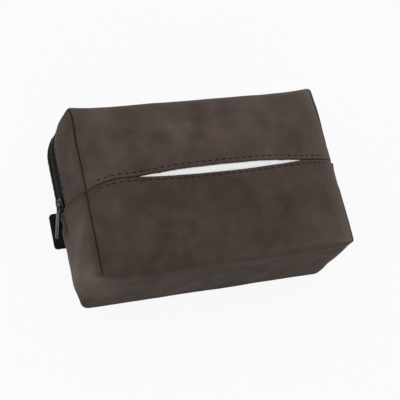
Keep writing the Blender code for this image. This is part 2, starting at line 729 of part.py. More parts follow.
def build():
    clear_scene()
    holder = new_collection("tissue_holder")
    cutters = new_collection("cutters")
    cutters.hide_render = True
    _, main_panel = make_panels(holder)
    make_zip(holder)
    frame = slider_frame()
    make_slider(holder, cutters, frame)
    make_puller(holder, cutters, frame)
    make_tab(holder, cutters, main_panel)
    make_bindings(holder)
    make_tissues(holder)


build()
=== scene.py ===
"""Looks of a zipped tissue pouch in brushed faux leather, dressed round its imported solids.

Metres, +Z up, in the frame of the part: the pouch lies on its plain back with the slit up, the zip along +Y,
and the tab and the slider at the -X end. The leather, the zip's tapes and teeth, the tab, the bindings and the
tissues are made here; the slider, its puller and the stops keep the shapes and places that the solids give them.
"""

import math
from contextlib import contextmanager

import bpy
import numpy as np
from mathutils import Matrix, Vector, noise


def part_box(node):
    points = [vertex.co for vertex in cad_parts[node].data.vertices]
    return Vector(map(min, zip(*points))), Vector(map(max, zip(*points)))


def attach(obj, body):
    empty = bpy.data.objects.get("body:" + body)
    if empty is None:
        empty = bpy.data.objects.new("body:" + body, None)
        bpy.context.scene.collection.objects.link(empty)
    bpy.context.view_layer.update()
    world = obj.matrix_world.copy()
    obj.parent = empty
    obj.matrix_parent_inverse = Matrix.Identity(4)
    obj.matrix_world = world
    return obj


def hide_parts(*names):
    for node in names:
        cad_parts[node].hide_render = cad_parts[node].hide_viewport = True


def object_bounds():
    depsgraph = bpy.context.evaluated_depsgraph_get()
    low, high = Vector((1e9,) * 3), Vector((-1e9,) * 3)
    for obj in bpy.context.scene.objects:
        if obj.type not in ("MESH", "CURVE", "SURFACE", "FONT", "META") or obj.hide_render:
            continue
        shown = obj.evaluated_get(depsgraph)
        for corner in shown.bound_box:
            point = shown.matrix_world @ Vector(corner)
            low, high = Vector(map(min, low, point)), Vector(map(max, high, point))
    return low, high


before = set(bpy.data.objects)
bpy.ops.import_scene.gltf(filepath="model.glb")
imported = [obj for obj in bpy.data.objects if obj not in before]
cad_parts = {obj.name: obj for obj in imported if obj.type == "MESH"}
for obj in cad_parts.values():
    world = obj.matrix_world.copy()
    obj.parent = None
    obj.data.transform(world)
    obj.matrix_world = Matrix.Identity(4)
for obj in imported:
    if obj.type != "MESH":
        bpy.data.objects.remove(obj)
cad_low, cad_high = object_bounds()

# The box that the skin is laid over, and its folds, as in the part.
LENGTH, WIDTH, DEPTH = 0.2025, 0.1365, 0.082
HALF = np.array([LENGTH, WIDTH, DEPTH]) / 2
ZIP_HEIGHT = DEPTH / 2
SEAM_FOLD = 0.0024
BACK_FOLD_Y, BACK_FOLD_Z = 0.0035, 0.0038
FRONT_FOLD_Y, FRONT_FOLD_Z = 0.010, 0.009
FRONT_FOLD_END_SHARE, FRONT_FOLD_POWER = 0.3, 6

# The swell of the slit face and of the long sides.
CROWN_HEIGHT, CROWN_END_POWER, CROWN_SIDE_POWER = 0.01715, 6, 2.2
SIDE_BULGE, SIDE_END_POWER = 0.0007, 4

# The ends: a slope from the slit face to a ridge at the zip, and a slope from there to the back.
# A pair in brackets, here and in the next two groups, is a start and the length of a rise or fall.
END_FRONT_SLOPE = math.tan(math.radians(16))
END_RIDGE, END_BACK_STEP = 0.0342, 0.0008
END_RIDGE_SOFTNESS, END_LOW_SOFTNESS, END_SOFTENING = 0.0015, 0.010, 0.030
END_SEAM_SHARE, END_SHOULDER_SHARE, END_SHOULDER = 0.94, 0.98, 0.046
END_CORNER_SHARE, END_LOW_SHARE = 0.62, 0.06
END_LIP_SHARE, END_LIP_LENGTH, END_LIP_STEEPNESS = 0.13, 0.014, 4
RIGHT_FOOT_POWER, LEFT_FOOT_SHARE, LEFT_FOOT_POWER, END_FOOT_RISE = 9, 0.62, 14, 0.021
END_PILLOW, PILLOW_MIDDLE, PILLOW_RISE = 0.003, 0.066, (0.012, 0.034)

# The -Y half of each end: another slope, a shoulder, and wider folds at the left end's lower corner.
LOW_SLOPE = math.tan(math.radians(20))
LOW_SIDE, LOW_SIDE_HEIGHT, LOW_SIDE_ARCH, LOW_SHOULDER_SOFTNESS = 0.0142, 0.032, 3.0, 0.008
LOW_CORNER_FOLD, LOW_CORNER_RISE = 0.0085, (0.0560, 0.012)
CORNER_FOOT_SHARE, CORNER_FOOT_RISE = 0.12, (0.010, 0.035)
CORNER_TOP_LOSS, CORNER_TOP = 0.7, 0.066
LOW_EDGE_FOLD, LOW_EDGE_RISE = 0.009, (0.072, 0.024)
FOOT_DENT, DENT_START, DENT_END = 0.0026, (0.001, 0.004), (0.006, 0.010)
DENT_LOW, DENT_TOP = (0.020, 0.012), (0.047, 0.010)

# How the left front seam and the slit's line wander: waves with a height, a middle and a spread.
SEAM_WAVES = ((0.0009, 0.054, 0.010),)
SEAM_DRAW, SEAM_DRAW_RISE, SEAM_DRIFT_REACH = 0.0006, (0.060, 0.008), 0.035
SLIT_WAVES = ((0.0013, -0.081, 0.011), (-0.0004, 0.062, 0.014), (0.0012, 0.095, 0.009))
SLIT_SHIFT, SLIT_DRAW, SLIT_DRAW_RISE, DRIFT_FOOT = 0.0006, 0.0019, (0.092, 0.009), 0.050

# Leather, slit and hem.
LEATHER = 0.0008
CLEARANCE = 0.0003
SLIT_LENGTH, SLIT_MIDDLE, SLIT_GAPE, SLIT_POWER, GAPE_REACH = 0.133, 0.0025, 0.0061, 2.5, 0.024
HEM_RADIUS, HEM_WIDTH, HEM_STEPS, HEM_FLAT_STEPS, HEM_DROOP = 0.00135, 0.006, 7, 2, 0.0002
LEAST_ROLL = 0.05
END_EDGE_TURN = 0.0018

# Zip: the leather's gap for it, its tapes and its moulded chain.
ZIP_BAND, ZIP_FOOT, ZIP_LINE_STEP = 0.0136, 0.0025, 0.0005
TAPE_SINK, TAPE_THICKNESS, TAPE_REACH, TAPE_FOOT = 0.0015, 0.0006, 0.0095, 0.009
TAPE_CUTS = (0.0045, 0.006, 0.0078, TAPE_REACH)
CHAIN_SINK = TAPE_SINK + TAPE_THICKNESS / 2
CHAIN_HALF, CHAIN_THICKNESS = 0.003, 0.0024
CORD_FROM, CORD_THICKNESS, CORD_ROUNDING, CORD_STEP = 0.0015, 0.0016, 0.0003, 0.0015
TOOTH_PITCH, TOOTH_FROM, TOOTH_TO, TOOTH_HALF_LENGTH = 0.003, -0.0009, 0.0029, 0.00062
TOOTH_CUTS, TOOTH_ROUNDING = (-0.0003, 0.0005, 0.0013), 0.00016
RUN_LENGTH, CHAIN_START, TOOTHED_FROM = 0.048, 0.0024, 0.00985
CHAIN_END_ROOM, FIRST_TOOTH_ROOM, LAST_TOOTH_ROOM = 0.0042, 0.0004, 0.0006

# A tooth's width from its head to its foot: each share holds up to a place across the chain.
TOOTH_WIDTHS = ((-0.0006, 0.62), (0.0, 1.12), (0.0008, 0.74))
TOOTH_NECK_END, TOOTH_NECK_HEIGHT = 0.0008, 0.94

# Sewing: the boxed seams, the topstitches and their rows.
# A groove, a swell or a shade is a depth and a spread.
SEAM_WAVER, SEAM_GROOVE, SEAM_SWELL, SEAM_SWELL_AT = 0.0005, (0.0015, 0.0010), (0.00028, 0.0022), 0.0036
ROW_GROOVE, HEM_SWELL, HEM_SWELL_AT = (0.00028, 0.0007), (0.00012, 0.0012), 0.0032
UPPER_END_GROOVE, LOWER_END_SWELL, CREASE_GROOVE = (0.0008, 0.0016), (0.0009, 0.0045), (0.0016, 0.0014)
SLIT_ROW_SHADE, ZIP_ROW_SHADE = (0.10, 0.0005), (0.20, 0.0004)
CREASE_SHADE, FOOT_SHADE = (0.8, 0.0011), (0.5, 0.010)
STITCH_PITCH, STITCH_LENGTH, STITCH_THICKNESS, STITCH_HEIGHT = 0.0054, 0.0028, 0.00084, 0.9
STITCH_DIVE, STITCH_PLUMPNESS, STITCH_SINK, SHORT_STEP = 0.00022, 1.3, 0.00012, 0.0001
SLIT_ROW, ZIP_ROW, TAB_ROW = 0.0019, 0.0021, 0.0018
SLIT_ROW_FROM, SLIT_ROW_TO, ROW_STEP, ZIP_ROW_START = -0.0945, 0.0935, 0.001, 0.0015

# How much rub and painted sheen the right end has, beside the left one.
RIGHT_END_RUB_AND_SHEEN = 0.6

# How finely the skin is divided: the widest step, and the steps beside a seam or an edge.
WIDEST_STEP, LEAST_STEP = 0.0041, 0.0001
EDGE_STEPS = (0.0005, 0.0013, 0.0021, 0.0030, 0.0045)
CUTS_BETWEEN = 1
TINY, NOUGHT, FAR = 1e-6, 1e-12, 1.0
FACES = (("front", 1), ("back", -1))


def link(thing):
    bpy.context.scene.collection.objects.link(thing)


def pick_all():
    bpy.ops.mesh.select_all(action="SELECT")


def select_only(*things):
    bpy.ops.object.select_all(action="DESELECT")
    for thing in things:
        thing.select_set(True)
    bpy.context.view_layer.objects.active = things[0]


@contextmanager
def editing(thing=None, pick=None):
    """Edit mode on a piece, or on the active one."""
    if thing:
        bpy.context.view_layer.objects.active = thing
    bpy.ops.object.mode_set(mode="EDIT")
    if pick:
        bpy.ops.mesh.select_mode(type=pick)
    yield
    bpy.ops.object.mode_set(mode="OBJECT")


def block(name, low, high):
    """A plain block between two corners."""
    middle = [(a + b) / 2 for a, b in zip(low, high)]
    bpy.ops.mesh.primitive_cube_add(size=1, location=middle, scale=[b - a for a, b in zip(low, high)])
    thing = bpy.context.object
    thing.name = name
    thing.data.name = name
    bpy.ops.object.transform_apply(location=True, rotation=True, scale=True)
    return thing


def cut_across(axis, places):
    """Cuts the whole piece square to an axis, in edit mode."""
    normal = [float(axis == way) for way in range(3)]
    for at in places:
        pick_all()
        bpy.ops.mesh.bisect(plane_co=[at * share for share in normal], plane_no=normal, threshold=TINY)


def round_all(radius, segments):
    """Rounds all edges, in edit mode."""
    pick_all()
    bpy.ops.mesh.bevel(offset=radius, segments=segments, profile=0.5, affect="EDGES")


def face_outwards(thing):
    with editing(thing):
        pick_all()
        bpy.ops.mesh.normals_make_consistent(inside=False)


def modifier(thing, kind, **settings):
    """Adds a modifier and applies it."""
    made = thing.modifiers.new(kind.lower(), kind)
    for key, value in settings.items():
        setattr(made, key, value)
    select_only(thing)
    bpy.ops.object.modifier_apply(modifier=made.name)


def read(items, field, kind=np.float32, width=1):
    """One field of every item, as rows where it has a width."""
    found = np.empty(len(items) * width, kind)
    items.foreach_get(field, found)
    return found.reshape(-1, width) if width > 1 else found


def coordinates(mesh):
    return read(mesh.vertices, "co", width=3).astype(float)


def normals(mesh):
    return read(mesh.vertices, "normal", width=3).astype(float)


def kept(mesh, name):
    """A number kept on each point."""
    return read(mesh.attributes[name].data, "value")


def place(mesh, points):
    mesh.vertices.foreach_set("co", np.asarray(points, np.float32).ravel())
    mesh.update()


def mark(mesh, name, values):
    """Keeps a number on each point for the materials to read."""
    layer = mesh.attributes.new(name, "FLOAT", "POINT")
    layer.data.foreach_set("value", np.asarray(values, np.float32))


def pick_edges(mesh, chosen):
    """Selects these edges alone."""
    for flat in (mesh.polygons, mesh.edges, mesh.vertices):
        flat.foreach_set("select", np.zeros(len(flat), bool))
    mesh.edges.foreach_set("select", np.asarray(chosen, bool))


def pick_open_edges(mesh, flags):
    """Selects the open edges between flagged points alone."""
    faces_beside = np.bincount(read(mesh.loops, "edge_index", np.int32), minlength=len(mesh.edges))
    pick_edges(mesh, (faces_beside == 1) & flags[read(mesh.edges, "vertices", np.int32, 2)].all(axis=1))


def unit(vectors):
    return vectors / np.maximum(NOUGHT, np.linalg.norm(vectors, axis=1, keepdims=True))


def distances(points):
    """Distance along a line of points, at each of them."""
    return np.concatenate([[0], np.cumsum(np.linalg.norm(np.diff(points, axis=0), axis=1))])


def along(table, known_at, wanted_at):
    """Rows of a table read at other distances along it."""
    return np.stack([np.interp(wanted_at, known_at, column) for column in table.T], 1)


def bell(distance, spread):
    return np.exp(-((distance / spread) ** 2))


def ease(value):
    """A smooth step from 0 to 1."""
    value = np.clip(value, 0, 1)
    return value * value * (3 - 2 * value)


def rise(value, start, length):
    """A smooth step from 0 at its start to 1 a length further on."""
    return ease((value - start) / length)


def wander(at, waves):
    return sum(height * bell(at - middle, spread) for height, middle, spread in waves)


def at_end(x):
    return HALF[0] - abs(x) < TINY


def ripple(points, wavelength, seed):
    """Soft noise from -1 to 1 over points, at a wavelength in metres."""
    shift = Vector((seed, seed * 0.7, -seed))
    return np.array([noise.noise(Vector(p) / wavelength + shift) for p in points])


# The soft form of the skin.


def soft_minimum(first, second, softness):
    blend = np.clip((1 + (second - first) / softness) / 2, 0, 1)
    return second * (1 - blend) + first * blend - softness * blend * (1 - blend)


def crown(x, y):
    """How far the slit face stands up over its edges."""
    lengthwise = 1 - np.minimum(1, abs(x) / HALF[0]) ** CROWN_END_POWER
    across = 1 - np.minimum(1, abs(y) / HALF[1]) ** CROWN_SIDE_POWER
    return CROWN_HEIGHT * lengthwise * across


def softening(y):
    return np.clip((-y - TAPE_FOOT) / END_SOFTENING, 0, 1)


def end_share(y, z, left):
    """The end's fullness: drawn in at the end seam, full at the shoulder, less at the foot."""
    growth = END_SHOULDER_SHARE - END_SEAM_SHARE
    upper = END_SEAM_SHARE + growth * np.minimum(1, np.maximum(y, 0) / END_SHOULDER)
    over = np.maximum(0, y - END_SHOULDER) / (HALF[1] - END_SHOULDER)
    above_zip = np.clip((z / ZIP_HEIGHT - 1) * END_LIP_STEEPNESS, 0, 1)
    lip = END_LIP_SHARE * np.maximum(0, 1 + y / END_LIP_LENGTH) * above_zip
    towards_foot = abs(y / HALF[1])
    left_foot = LEFT_FOOT_SHARE * towards_foot**LEFT_FOOT_POWER
    foot = np.where(left, left_foot, towards_foot**RIGHT_FOOT_POWER) * np.minimum(1, z / END_FOOT_RISE)
    lower = END_SEAM_SHARE + END_LOW_SHARE * softening(y) + lip - foot
    return np.where(y >= 0, upper - END_CORNER_SHARE * over**2, lower)


def seam_drift(y):
    """How far the left front seam wanders along the pouch near its upper corner."""
    return wander(y, SEAM_WAVES) - SEAM_DRAW * rise(y, *SEAM_DRAW_RISE)


def foot_dent(y, z):
    """How far the leather beside the zip's foot is pressed in."""
    lengthwise = rise(-y, *DENT_START) * (1 - rise(-y, *DENT_END))
    return FOOT_DENT * lengthwise * ease((DENT_TOP[0] - z) / DENT_TOP[1]) * rise(z, *DENT_LOW)


def end_bulge(y, z, left):
    """How far an end stands out past its seams. The left end is dented beside the zip's foot."""
    front = (DEPTH - z) * END_FRONT_SLOPE
    at_ridge = (DEPTH - END_RIDGE) * END_FRONT_SLOPE
    back = END_BACK_STEP + (at_ridge - END_BACK_STEP) * z / END_RIDGE
    low = softening(y)
    softness = END_RIDGE_SOFTNESS + (END_LOW_SOFTNESS - END_RIDGE_SOFTNESS) * low
    side = LOW_SIDE - LOW_SIDE_ARCH * (z - LOW_SIDE_HEIGHT) ** 2
    low_front = soft_minimum((DEPTH - z) * LOW_SLOPE, side, LOW_SHOULDER_SOFTNESS)
    low_form = soft_minimum(low_front, back, END_LOW_SOFTNESS)
    from_middle = (z - PILLOW_MIDDLE) / (DEPTH - PILLOW_MIDDLE)
    pillow = END_PILLOW * np.maximum(0, 1 - from_middle**2) * rise(y, *PILLOW_RISE)
    form = soft_minimum(front, back, softness)
    full = (form + (low_form - form) * ease(low) + pillow) * end_share(y, z, left)
    return full - foot_dent(y, z) * left


def slit_lens(x):
    """How wide the slit gapes."""
    return SLIT_GAPE * np.maximum(0, 1 - abs(2 * (x - SLIT_MIDDLE) / SLIT_LENGTH) ** SLIT_POWER)


def slit_drift(x):
    """How far the slit's line wanders from the middle of the face."""
    return wander(x, SLIT_WAVES) - SLIT_SHIFT - SLIT_DRAW * rise(-x, *SLIT_DRAW_RISE)


def fold_radii(x, y, z):
    """The folds' radii over the box, along X, Y and Z: soft in the middle, crisp at the ends and at the back."""
    softness = 1 - (1 - FRONT_FOLD_END_SHARE) * np.minimum(1, abs(x) / HALF[0]) ** FRONT_FOLD_POWER
    long_fold = BACK_FOLD_Y + (FRONT_FOLD_Y * softness - BACK_FOLD_Y) * z / DEPTH
    belly = 4 * z / DEPTH * (1 - z / DEPTH)
    long_fold = long_fold + LOW_EDGE_FOLD * belly * rise(-x, *LOW_EDGE_RISE) * (y < 0)
    face_fold = np.where(z > HALF[2], FRONT_FOLD_Z * softness, BACK_FOLD_Z)
    above_foot = CORNER_FOOT_SHARE + (1 - CORNER_FOOT_SHARE) * rise(z, *CORNER_FOOT_RISE)
    below_top = 1 - CORNER_TOP_LOSS * rise(z, CORNER_TOP, DEPTH - CORNER_TOP)
    low_corner = rise(-y, *LOW_CORNER_RISE) * above_foot * below_top
    return np.stack([SEAM_FOLD + LOW_CORNER_FOLD * low_corner, long_fold, face_fold], 1)


def skin(box):
    """The leather's outer face over points of the box. A point just off y = 0 belongs to one edge of the slit."""
    x, y, z = box.T
    folds = fold_radii(x, y, z)
    from_middle = box - (0, 0, HALF[2])
    inner = HALF - folds
    core = np.clip(from_middle, -inner, inner)
    lean = unit((from_middle - core) / folds)
    point = core + lean * folds
    px, py, pz = point.T
    height = pz + HALF[2]
    px += lean[:, 0] * end_bulge(y, height, x < 0)
    lengthwise = 1 - np.minimum(1, abs(px) / HALF[0]) ** SIDE_END_POWER
    py += lean[:, 1] * SIDE_BULGE * lengthwise * (1 - (2 * height / DEPTH - 1) ** 2)
    upward = np.maximum(0, lean[:, 2])
    pz += upward * crown(px, py)
    near_slit = np.maximum(0, 1 - abs(y) / GAPE_REACH)
    to_seam = np.clip((HALF[0] - abs(x)) / SEAM_FOLD, 0, 1)
    py += np.sign(y) * ((HEM_RADIUS + slit_lens(px) / 2) * near_slit) * upward * to_seam
    from_foot = np.clip((z - DRIFT_FOOT) / (DEPTH - DRIFT_FOOT), 0, 1)
    py += slit_drift(x) * from_foot * near_slit
    px += seam_drift(y) * from_foot * np.maximum(0, 1 - (HALF[0] + x) / SEAM_DRIFT_REACH)
    pz += HALF[2]
    return point


# The box cut into pieces.


def stations(half, marks, middle=0.0):
    """Places to cut one way: the marks, and steps between them no wider than the widest."""
    found = sorted({round(m, 6) for m in marks} | {middle - half, middle + half})
    filled = [found[0]]
    for mark_at in found[1:]:
        gap = mark_at - filled[-1]
        if gap < LEAST_STEP:
            continue
        pieces = max(1, math.ceil(gap / WIDEST_STEP))
        filled += [filled[-1] + gap * (i + 1) / pieces for i in range(pieces)]
    return filled


def beside(*edges):
    return [edge + side * step for edge in edges for side in (-1, 1) for step in (0, *EDGE_STEPS)]


X_CUTS = stations(HALF[0], beside(-HALF[0], HALF[0]))
Y_CUTS = stations(HALF[1], [*beside(0, -HALF[1], HALF[1]), -ZIP_FOOT, ZIP_FOOT, -TAPE_FOOT])
BAND_EDGES = (ZIP_HEIGHT - ZIP_BAND / 2, ZIP_HEIGHT + ZIP_BAND / 2)
Z_CUTS = stations(HALF[2], beside(0, DEPTH, *BAND_EDGES), HALF[2])
TAPE_Z_CUTS = [ZIP_HEIGHT + side * reach for side in (-1, 1) for reach in (CHAIN_HALF + CLEARANCE, *TAPE_CUTS)]


def on_zip_side(p, foot):
    """Whether a point of the box is on the long side of the zip, or on an end above the zip's foot."""
    return p[1] > HALF[1] - TINY or (at_end(p[0]) and p[1] > -foot)


def in_band(p, half_band, foot):
    return on_zip_side(p, foot) and abs(p[2] - ZIP_HEIGHT) < half_band


def in_panel(p, side):
    on_front = p[2] > DEPTH - TINY
    upper = (on_front and p[1] > 0) or (on_zip_side(p, 0) and p[2] > ZIP_HEIGHT)
    return upper == (side > 0) and not in_band(p, ZIP_BAND / 2, ZIP_FOOT)


def in_tape(p, side):
    beyond_chain = (p[2] - ZIP_HEIGHT) * side > CHAIN_HALF + CLEARANCE
    return in_band(p, TAPE_REACH, TAPE_FOOT) and beyond_chain


def cut_box(name, keep, side, z_cuts):
    """A box cut along its stations, with only the faces that keep() accepts, divided once more."""
    thing = block(name, (-HALF[0], -HALF[1], 0), (HALF[0], HALF[1], DEPTH))
    with editing():
        for axis, cuts in enumerate((X_CUTS[1:-1], Y_CUTS[1:-1], z_cuts)):
            cut_across(axis, cuts)
        bpy.ops.mesh.select_mode(type="FACE")
        bpy.ops.mesh.select_all(action="DESELECT")
    for face in thing.data.polygons:
        face.select = not keep(face.center, side)
    with editing():
        bpy.ops.mesh.delete(type="FACE")
        pick_all()
        bpy.ops.mesh.subdivide(number_cuts=CUTS_BETWEEN)
    return thing


def dress(thing, finish, slot, *nodes, body="holder"):
    """Gives a finished piece its material and its body, and hides the solids that it stands for. The slot is not
    used.
    """
    thing.data.materials.clear()
    thing.data.materials.append(finish)
    thing.data.shade_smooth()
    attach(thing, body)
    if nodes:
        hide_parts(*nodes)


# The leather panels.


def seam_distance(box, height):
    """Distance over the skin to a boxed seam at this height, in box measure. The seam wavers a little."""
    over_face = HALF[0] - abs(box[:, 0])
    down_end = abs(height - box[:, 2])
    waver = SEAM_WAVER * ripple(box * (0, 1, 0), 0.011, 17)
    return np.where(over_face > down_end, abs(over_face - waver), abs(down_end + waver))


def to_band_edge(box):
    """Distance to the zip band's edges, on the faces that the zip runs over."""
    x, y, z = box.T
    zipped = (y > HALF[1] - TINY) | (at_end(x) & (y > -ZIP_FOOT - 0.006))
    beyond = abs(z - ZIP_HEIGHT) - ZIP_BAND / 2
    past_foot = np.maximum(0, -ZIP_FOOT - y)
    return np.where(zipped, np.where(beyond > 0, np.hypot(beyond, past_foot), past_foot), FAR)


def rounded_edge(distance, radius):
    """How far a rounded edge falls, at a distance from its end."""
    fall = radius - np.sqrt(np.maximum(0, radius**2 - (radius - distance) ** 2))
    return np.where(distance < radius, fall, 0)


def groove(distance, depth, spread):
    return depth * bell(distance, spread)


def relief(box, points, side):
    """Height of the sewing and of the soft folds over the plain skin, and how much shade is painted at each
    point: in the seams, the stitch rows, the crease and along the foot.
    """
    x, y, z = box.T
    on_end, on_front = at_end(x), z > DEPTH - TINY
    upright = on_end | (HALF[1] - abs(y) < TINY)

    # The boxed seams, with puckers beside them, and painted shade in their grooves.
    ends_fade = rise(y, -HALF[1], 0.004) * ease((HALF[1] + 0.001 - y) / 0.003)
    seam = np.minimum(seam_distance(box, DEPTH), seam_distance(box, 0))
    pucker = 0.6 + 0.8 * ripple(points, 0.009, 11)
    height = -groove(seam, *SEAM_GROOVE) * ends_fade
    height += groove(seam - SEAM_SWELL_AT, *SEAM_SWELL) * pucker * ends_fade
    painted_shades = [bell(seam, 0.0008) * ends_fade]

    # The slit's row of topstitches, with painted shade along it, and the swell of its hem.
    row_fade = ease((HALF[0] - 0.004 - abs(x)) / 0.003)
    slit_row = np.where(on_front, abs(abs(y) - SLIT_ROW), FAR)
    hem_edge = np.where(on_front, abs(y) - HEM_SWELL_AT, FAR)
    height -= groove(slit_row, *ROW_GROOVE) * row_fade
    height += groove(hem_edge, *HEM_SWELL) * (1 + ripple(points, 0.006, 5))
    painted_shades.append(groove(slit_row, *SLIT_ROW_SHADE) * row_fade)

    # The turned edges along the zip, with their row and painted shade along it.
    band = to_band_edge(box)
    height -= rounded_edge(band, 0.0008) * 0.7 + groove(band - ZIP_ROW, *ROW_GROOVE)
    painted_shades.append(groove(band - ZIP_ROW, *ZIP_ROW_SHADE))

    # The end seams: the upper panel is drawn in, with painted shade beside the seam that deepens towards the slit
    # face, and the main one swells.
    end_seam = np.where(on_end & (z > ZIP_HEIGHT), abs(y), FAR)
    if side > 0:
        height -= groove(end_seam, *UPPER_END_GROOVE)
        painted_shades.append((0.25 + 0.55 * rise(z, 0.066, 0.012)) * bell(end_seam, 0.0006))
    else:
        height += groove(end_seam, *LOWER_END_SWELL) - rounded_edge(end_seam, 0.001)

    # The crease beside the zip's foot on the left end, with painted shade in it, and painted shade along the foot
    # of the body.
    crease = np.where(on_end & (x < 0), abs((z - 0.0412) - (-0.005 - y) * 0.27), FAR)
    creased = rise(-y, 0.0025, 0.002) * rise(y, -0.026, 0.014)
    height -= groove(crease, *CREASE_GROOVE) * creased
    painted_shades += [groove(crease, *CREASE_SHADE) * creased, groove(z, *FOOT_SHADE) * upright]

    # Soft waves, calmer near the sewing, and stronger on the lower half of each end.
    calm = rise(np.minimum(seam, np.minimum(slit_row, band)), 0, 0.006) * 0.8 + 0.2
    for swing, wavelength, seed in ((0.00045, 0.034, 2), (0.00016, 0.013, 3)):
        height += swing * ripple(points, wavelength, seed) * calm
    lower_end = rise(-y, 0.004, 0.02) * rise(y, -HALF[1], 0.010) * on_end
    height += 0.0005 * ripple(points * (1, 1, 0.55), 0.016, 7) * lower_end * calm
    return height, np.maximum.reduce(painted_shades)


def rubbed_and_painted_light(box):
    """How much paler the leather is painted: painted light along the long front folds, painted highlights by the
    right front edge and round the zip, and, in an uneven patch on the puffed lower half of each end, rub that
    also stands for painted sheen."""
    x, y, z = box.T
    on_front, on_side = z > DEPTH - TINY, HALF[1] - abs(y) < TINY
    blotches = ripple(box, 0.019, 51)

    # Painted light along the long front folds, painted highlights round the zip's edges and by the right front
    # edge, and the front painted lighter towards the right.
    from_fold = np.where(on_front, HALF[1] - abs(y), np.where(on_side, DEPTH - z, FAR))
    painted_fold_light = (0.15 + 0.35 * rise(x, 0, 0.09)) * bell(from_fold, 0.0075)
    painted_zip_edge_highlight = 0.35 * ease(1 - to_band_edge(box) / 0.0012)
    painted_right_front_light = 1.2 * bell(HALF[0] - x, 0.009) + 0.3 * rise(x, 0.02, 0.07)

    # The lower half of an end: a broad pale patch of rub and painted sheen, more below a curved ridge and along
    # it, and a stripe by the corner.
    ridge = 0.066 - 12 * (y + 0.015) ** 2
    end_rub_and_sheen = 0.75 * ease(np.where(z > ZIP_HEIGHT, -y / 0.006, (0.006 - y) / 0.034))
    end_rub_and_sheen += 0.75 * ease((ridge + 0.006 - z) / 0.012) * rise(-y, 0.010, 0.020)
    end_rub_and_sheen += 0.6 * bell(z - ridge, 0.006) * rise(-y, 0.012, 0.014) * rise(y, -0.062, 0.010)
    end_rub_and_sheen += 1.1 * bell(y + 0.0595, 0.0085) * rise(z, 0.030, 0.030)
    end_rub_and_sheen *= 1 + 0.35 * blotches + 0.15 * ripple(box, 0.007, 53)
    front_loss = 0.75 * bell(DEPTH - z, 0.007)
    foot_loss = rise(-y, 0.040, 0.026) * ease((0.044 - z) / 0.034)
    end_rub_and_sheen *= (1 - front_loss) * (1 - foot_loss) * np.where(x < 0, 1, RIGHT_END_RUB_AND_SHEEN)

    # The plain side's own part of the lower left corner: pale rub and painted sheen.
    corner_start = 0.070 + 0.014 * rise(z, 0.045, 0.03)
    corner = 1.1 * ease((-x - corner_start) / 0.030) * rise(z, 0.012, 0.036) * (1 + 0.3 * blotches)
    plain_side = y < TINY - HALF[1]
    return painted_fold_light + painted_zip_edge_highlight + painted_right_front_light * on_front + corner * plain_side + end_rub_and_sheen * at_end(x)


def turn_end_edges(thing):
    """Turns the panel's edges in along the end seams."""
    pick_open_edges(thing.data, kept(thing.data, "end_seam") > 0.5)
    with editing(thing, "EDGE"):
        bpy.ops.mesh.extrude_edges_indiv()
    flags = read(thing.data.vertices, "select", bool)
    points = coordinates(thing.data)
    points[flags, 0] -= np.sign(points[flags, 0]) * END_EDGE_TURN
    place(thing.data, points)


def slit_edge(thing, side):
    """Rolls the slit's edge under and lays its hem back beneath the panel."""
    mesh = thing.data
    points, ups = coordinates(mesh), normals(mesh)
    edge_flags = kept(mesh, "lip") > 0.5
    pick_open_edges(mesh, edge_flags)
    first = np.flatnonzero(edge_flags)
    first = first[np.argsort(points[first, 0])]
    starts, up = points[first], ups[first]
    radius = (HEM_RADIUS * kept(mesh, "roll")[first])[:, None]
    away = np.array([0, side, 0.0])
    level = unit(away - up * (up @ away)[:, None])
    for step in range(1, HEM_STEPS + HEM_FLAT_STEPS + 1):
        with editing(thing, "EDGE"):
            bpy.ops.mesh.extrude_edges_indiv()
        points = coordinates(mesh)
        row = np.flatnonzero(read(mesh.vertices, "select", bool))
        row = row[np.argsort(points[row, 0])]
        turn = math.pi * min(step, HEM_STEPS) / HEM_STEPS
        laid = starts - up * radius * (1 - math.cos(turn)) - level * radius * math.sin(turn)
        if step > HEM_STEPS:
            laid = laid + level * HEM_WIDTH * (step - HEM_STEPS) / HEM_FLAT_STEPS - up * HEM_DROOP
        points[row] = laid
        place(mesh, points)


def make_panel(name, side, finish, node):
    """One leather panel, with its seams, turned edges and soft folds."""
    thing = cut_box(name, in_panel, side, Z_CUTS)
    mesh = thing.data
    box = coordinates(mesh)
    near_slit = abs(box[:, 1]) < CLEARANCE / 2
    box[near_slit, 1] = side * CLEARANCE / 2
    place(mesh, skin(box))
    points = coordinates(mesh)
    height, painted_shades = relief(box, points, side)
    points = points + normals(mesh) * height[:, None]
    points[:, 2] = np.maximum(points[:, 2], cad_low.z)
    place(mesh, points)
    from_end = HALF[0] - abs(box[:, 0])
    mark(mesh, "lip", near_slit & (box[:, 2] > DEPTH - TINY) & (from_end > TINY))
    # The "seam" number is painted shade: in the seams, the stitch rows, the crease and along the foot.
    mark(mesh, "seam", painted_shades)
    # The "wear" number is pale rub and painted light: light along the long folds, highlights by the zip and the
    # right front edge, and sheen on the ends.
    mark(mesh, "wear", rubbed_and_painted_light(box))
    mark(mesh, "roll", np.clip(from_end / SEAM_FOLD, LEAST_ROLL, 1))
    mark(mesh, "end_seam", near_slit & (from_end < TINY) & (box[:, 2] > ZIP_HEIGHT))
    slit_edge(thing, side)
    turn_end_edges(thing)
    modifier(thing, "SOLIDIFY", thickness=LEATHER, offset=-1, use_even_offset=False)
    dress(thing, finish, "leather", node)


# The zip's line, and what follows it.


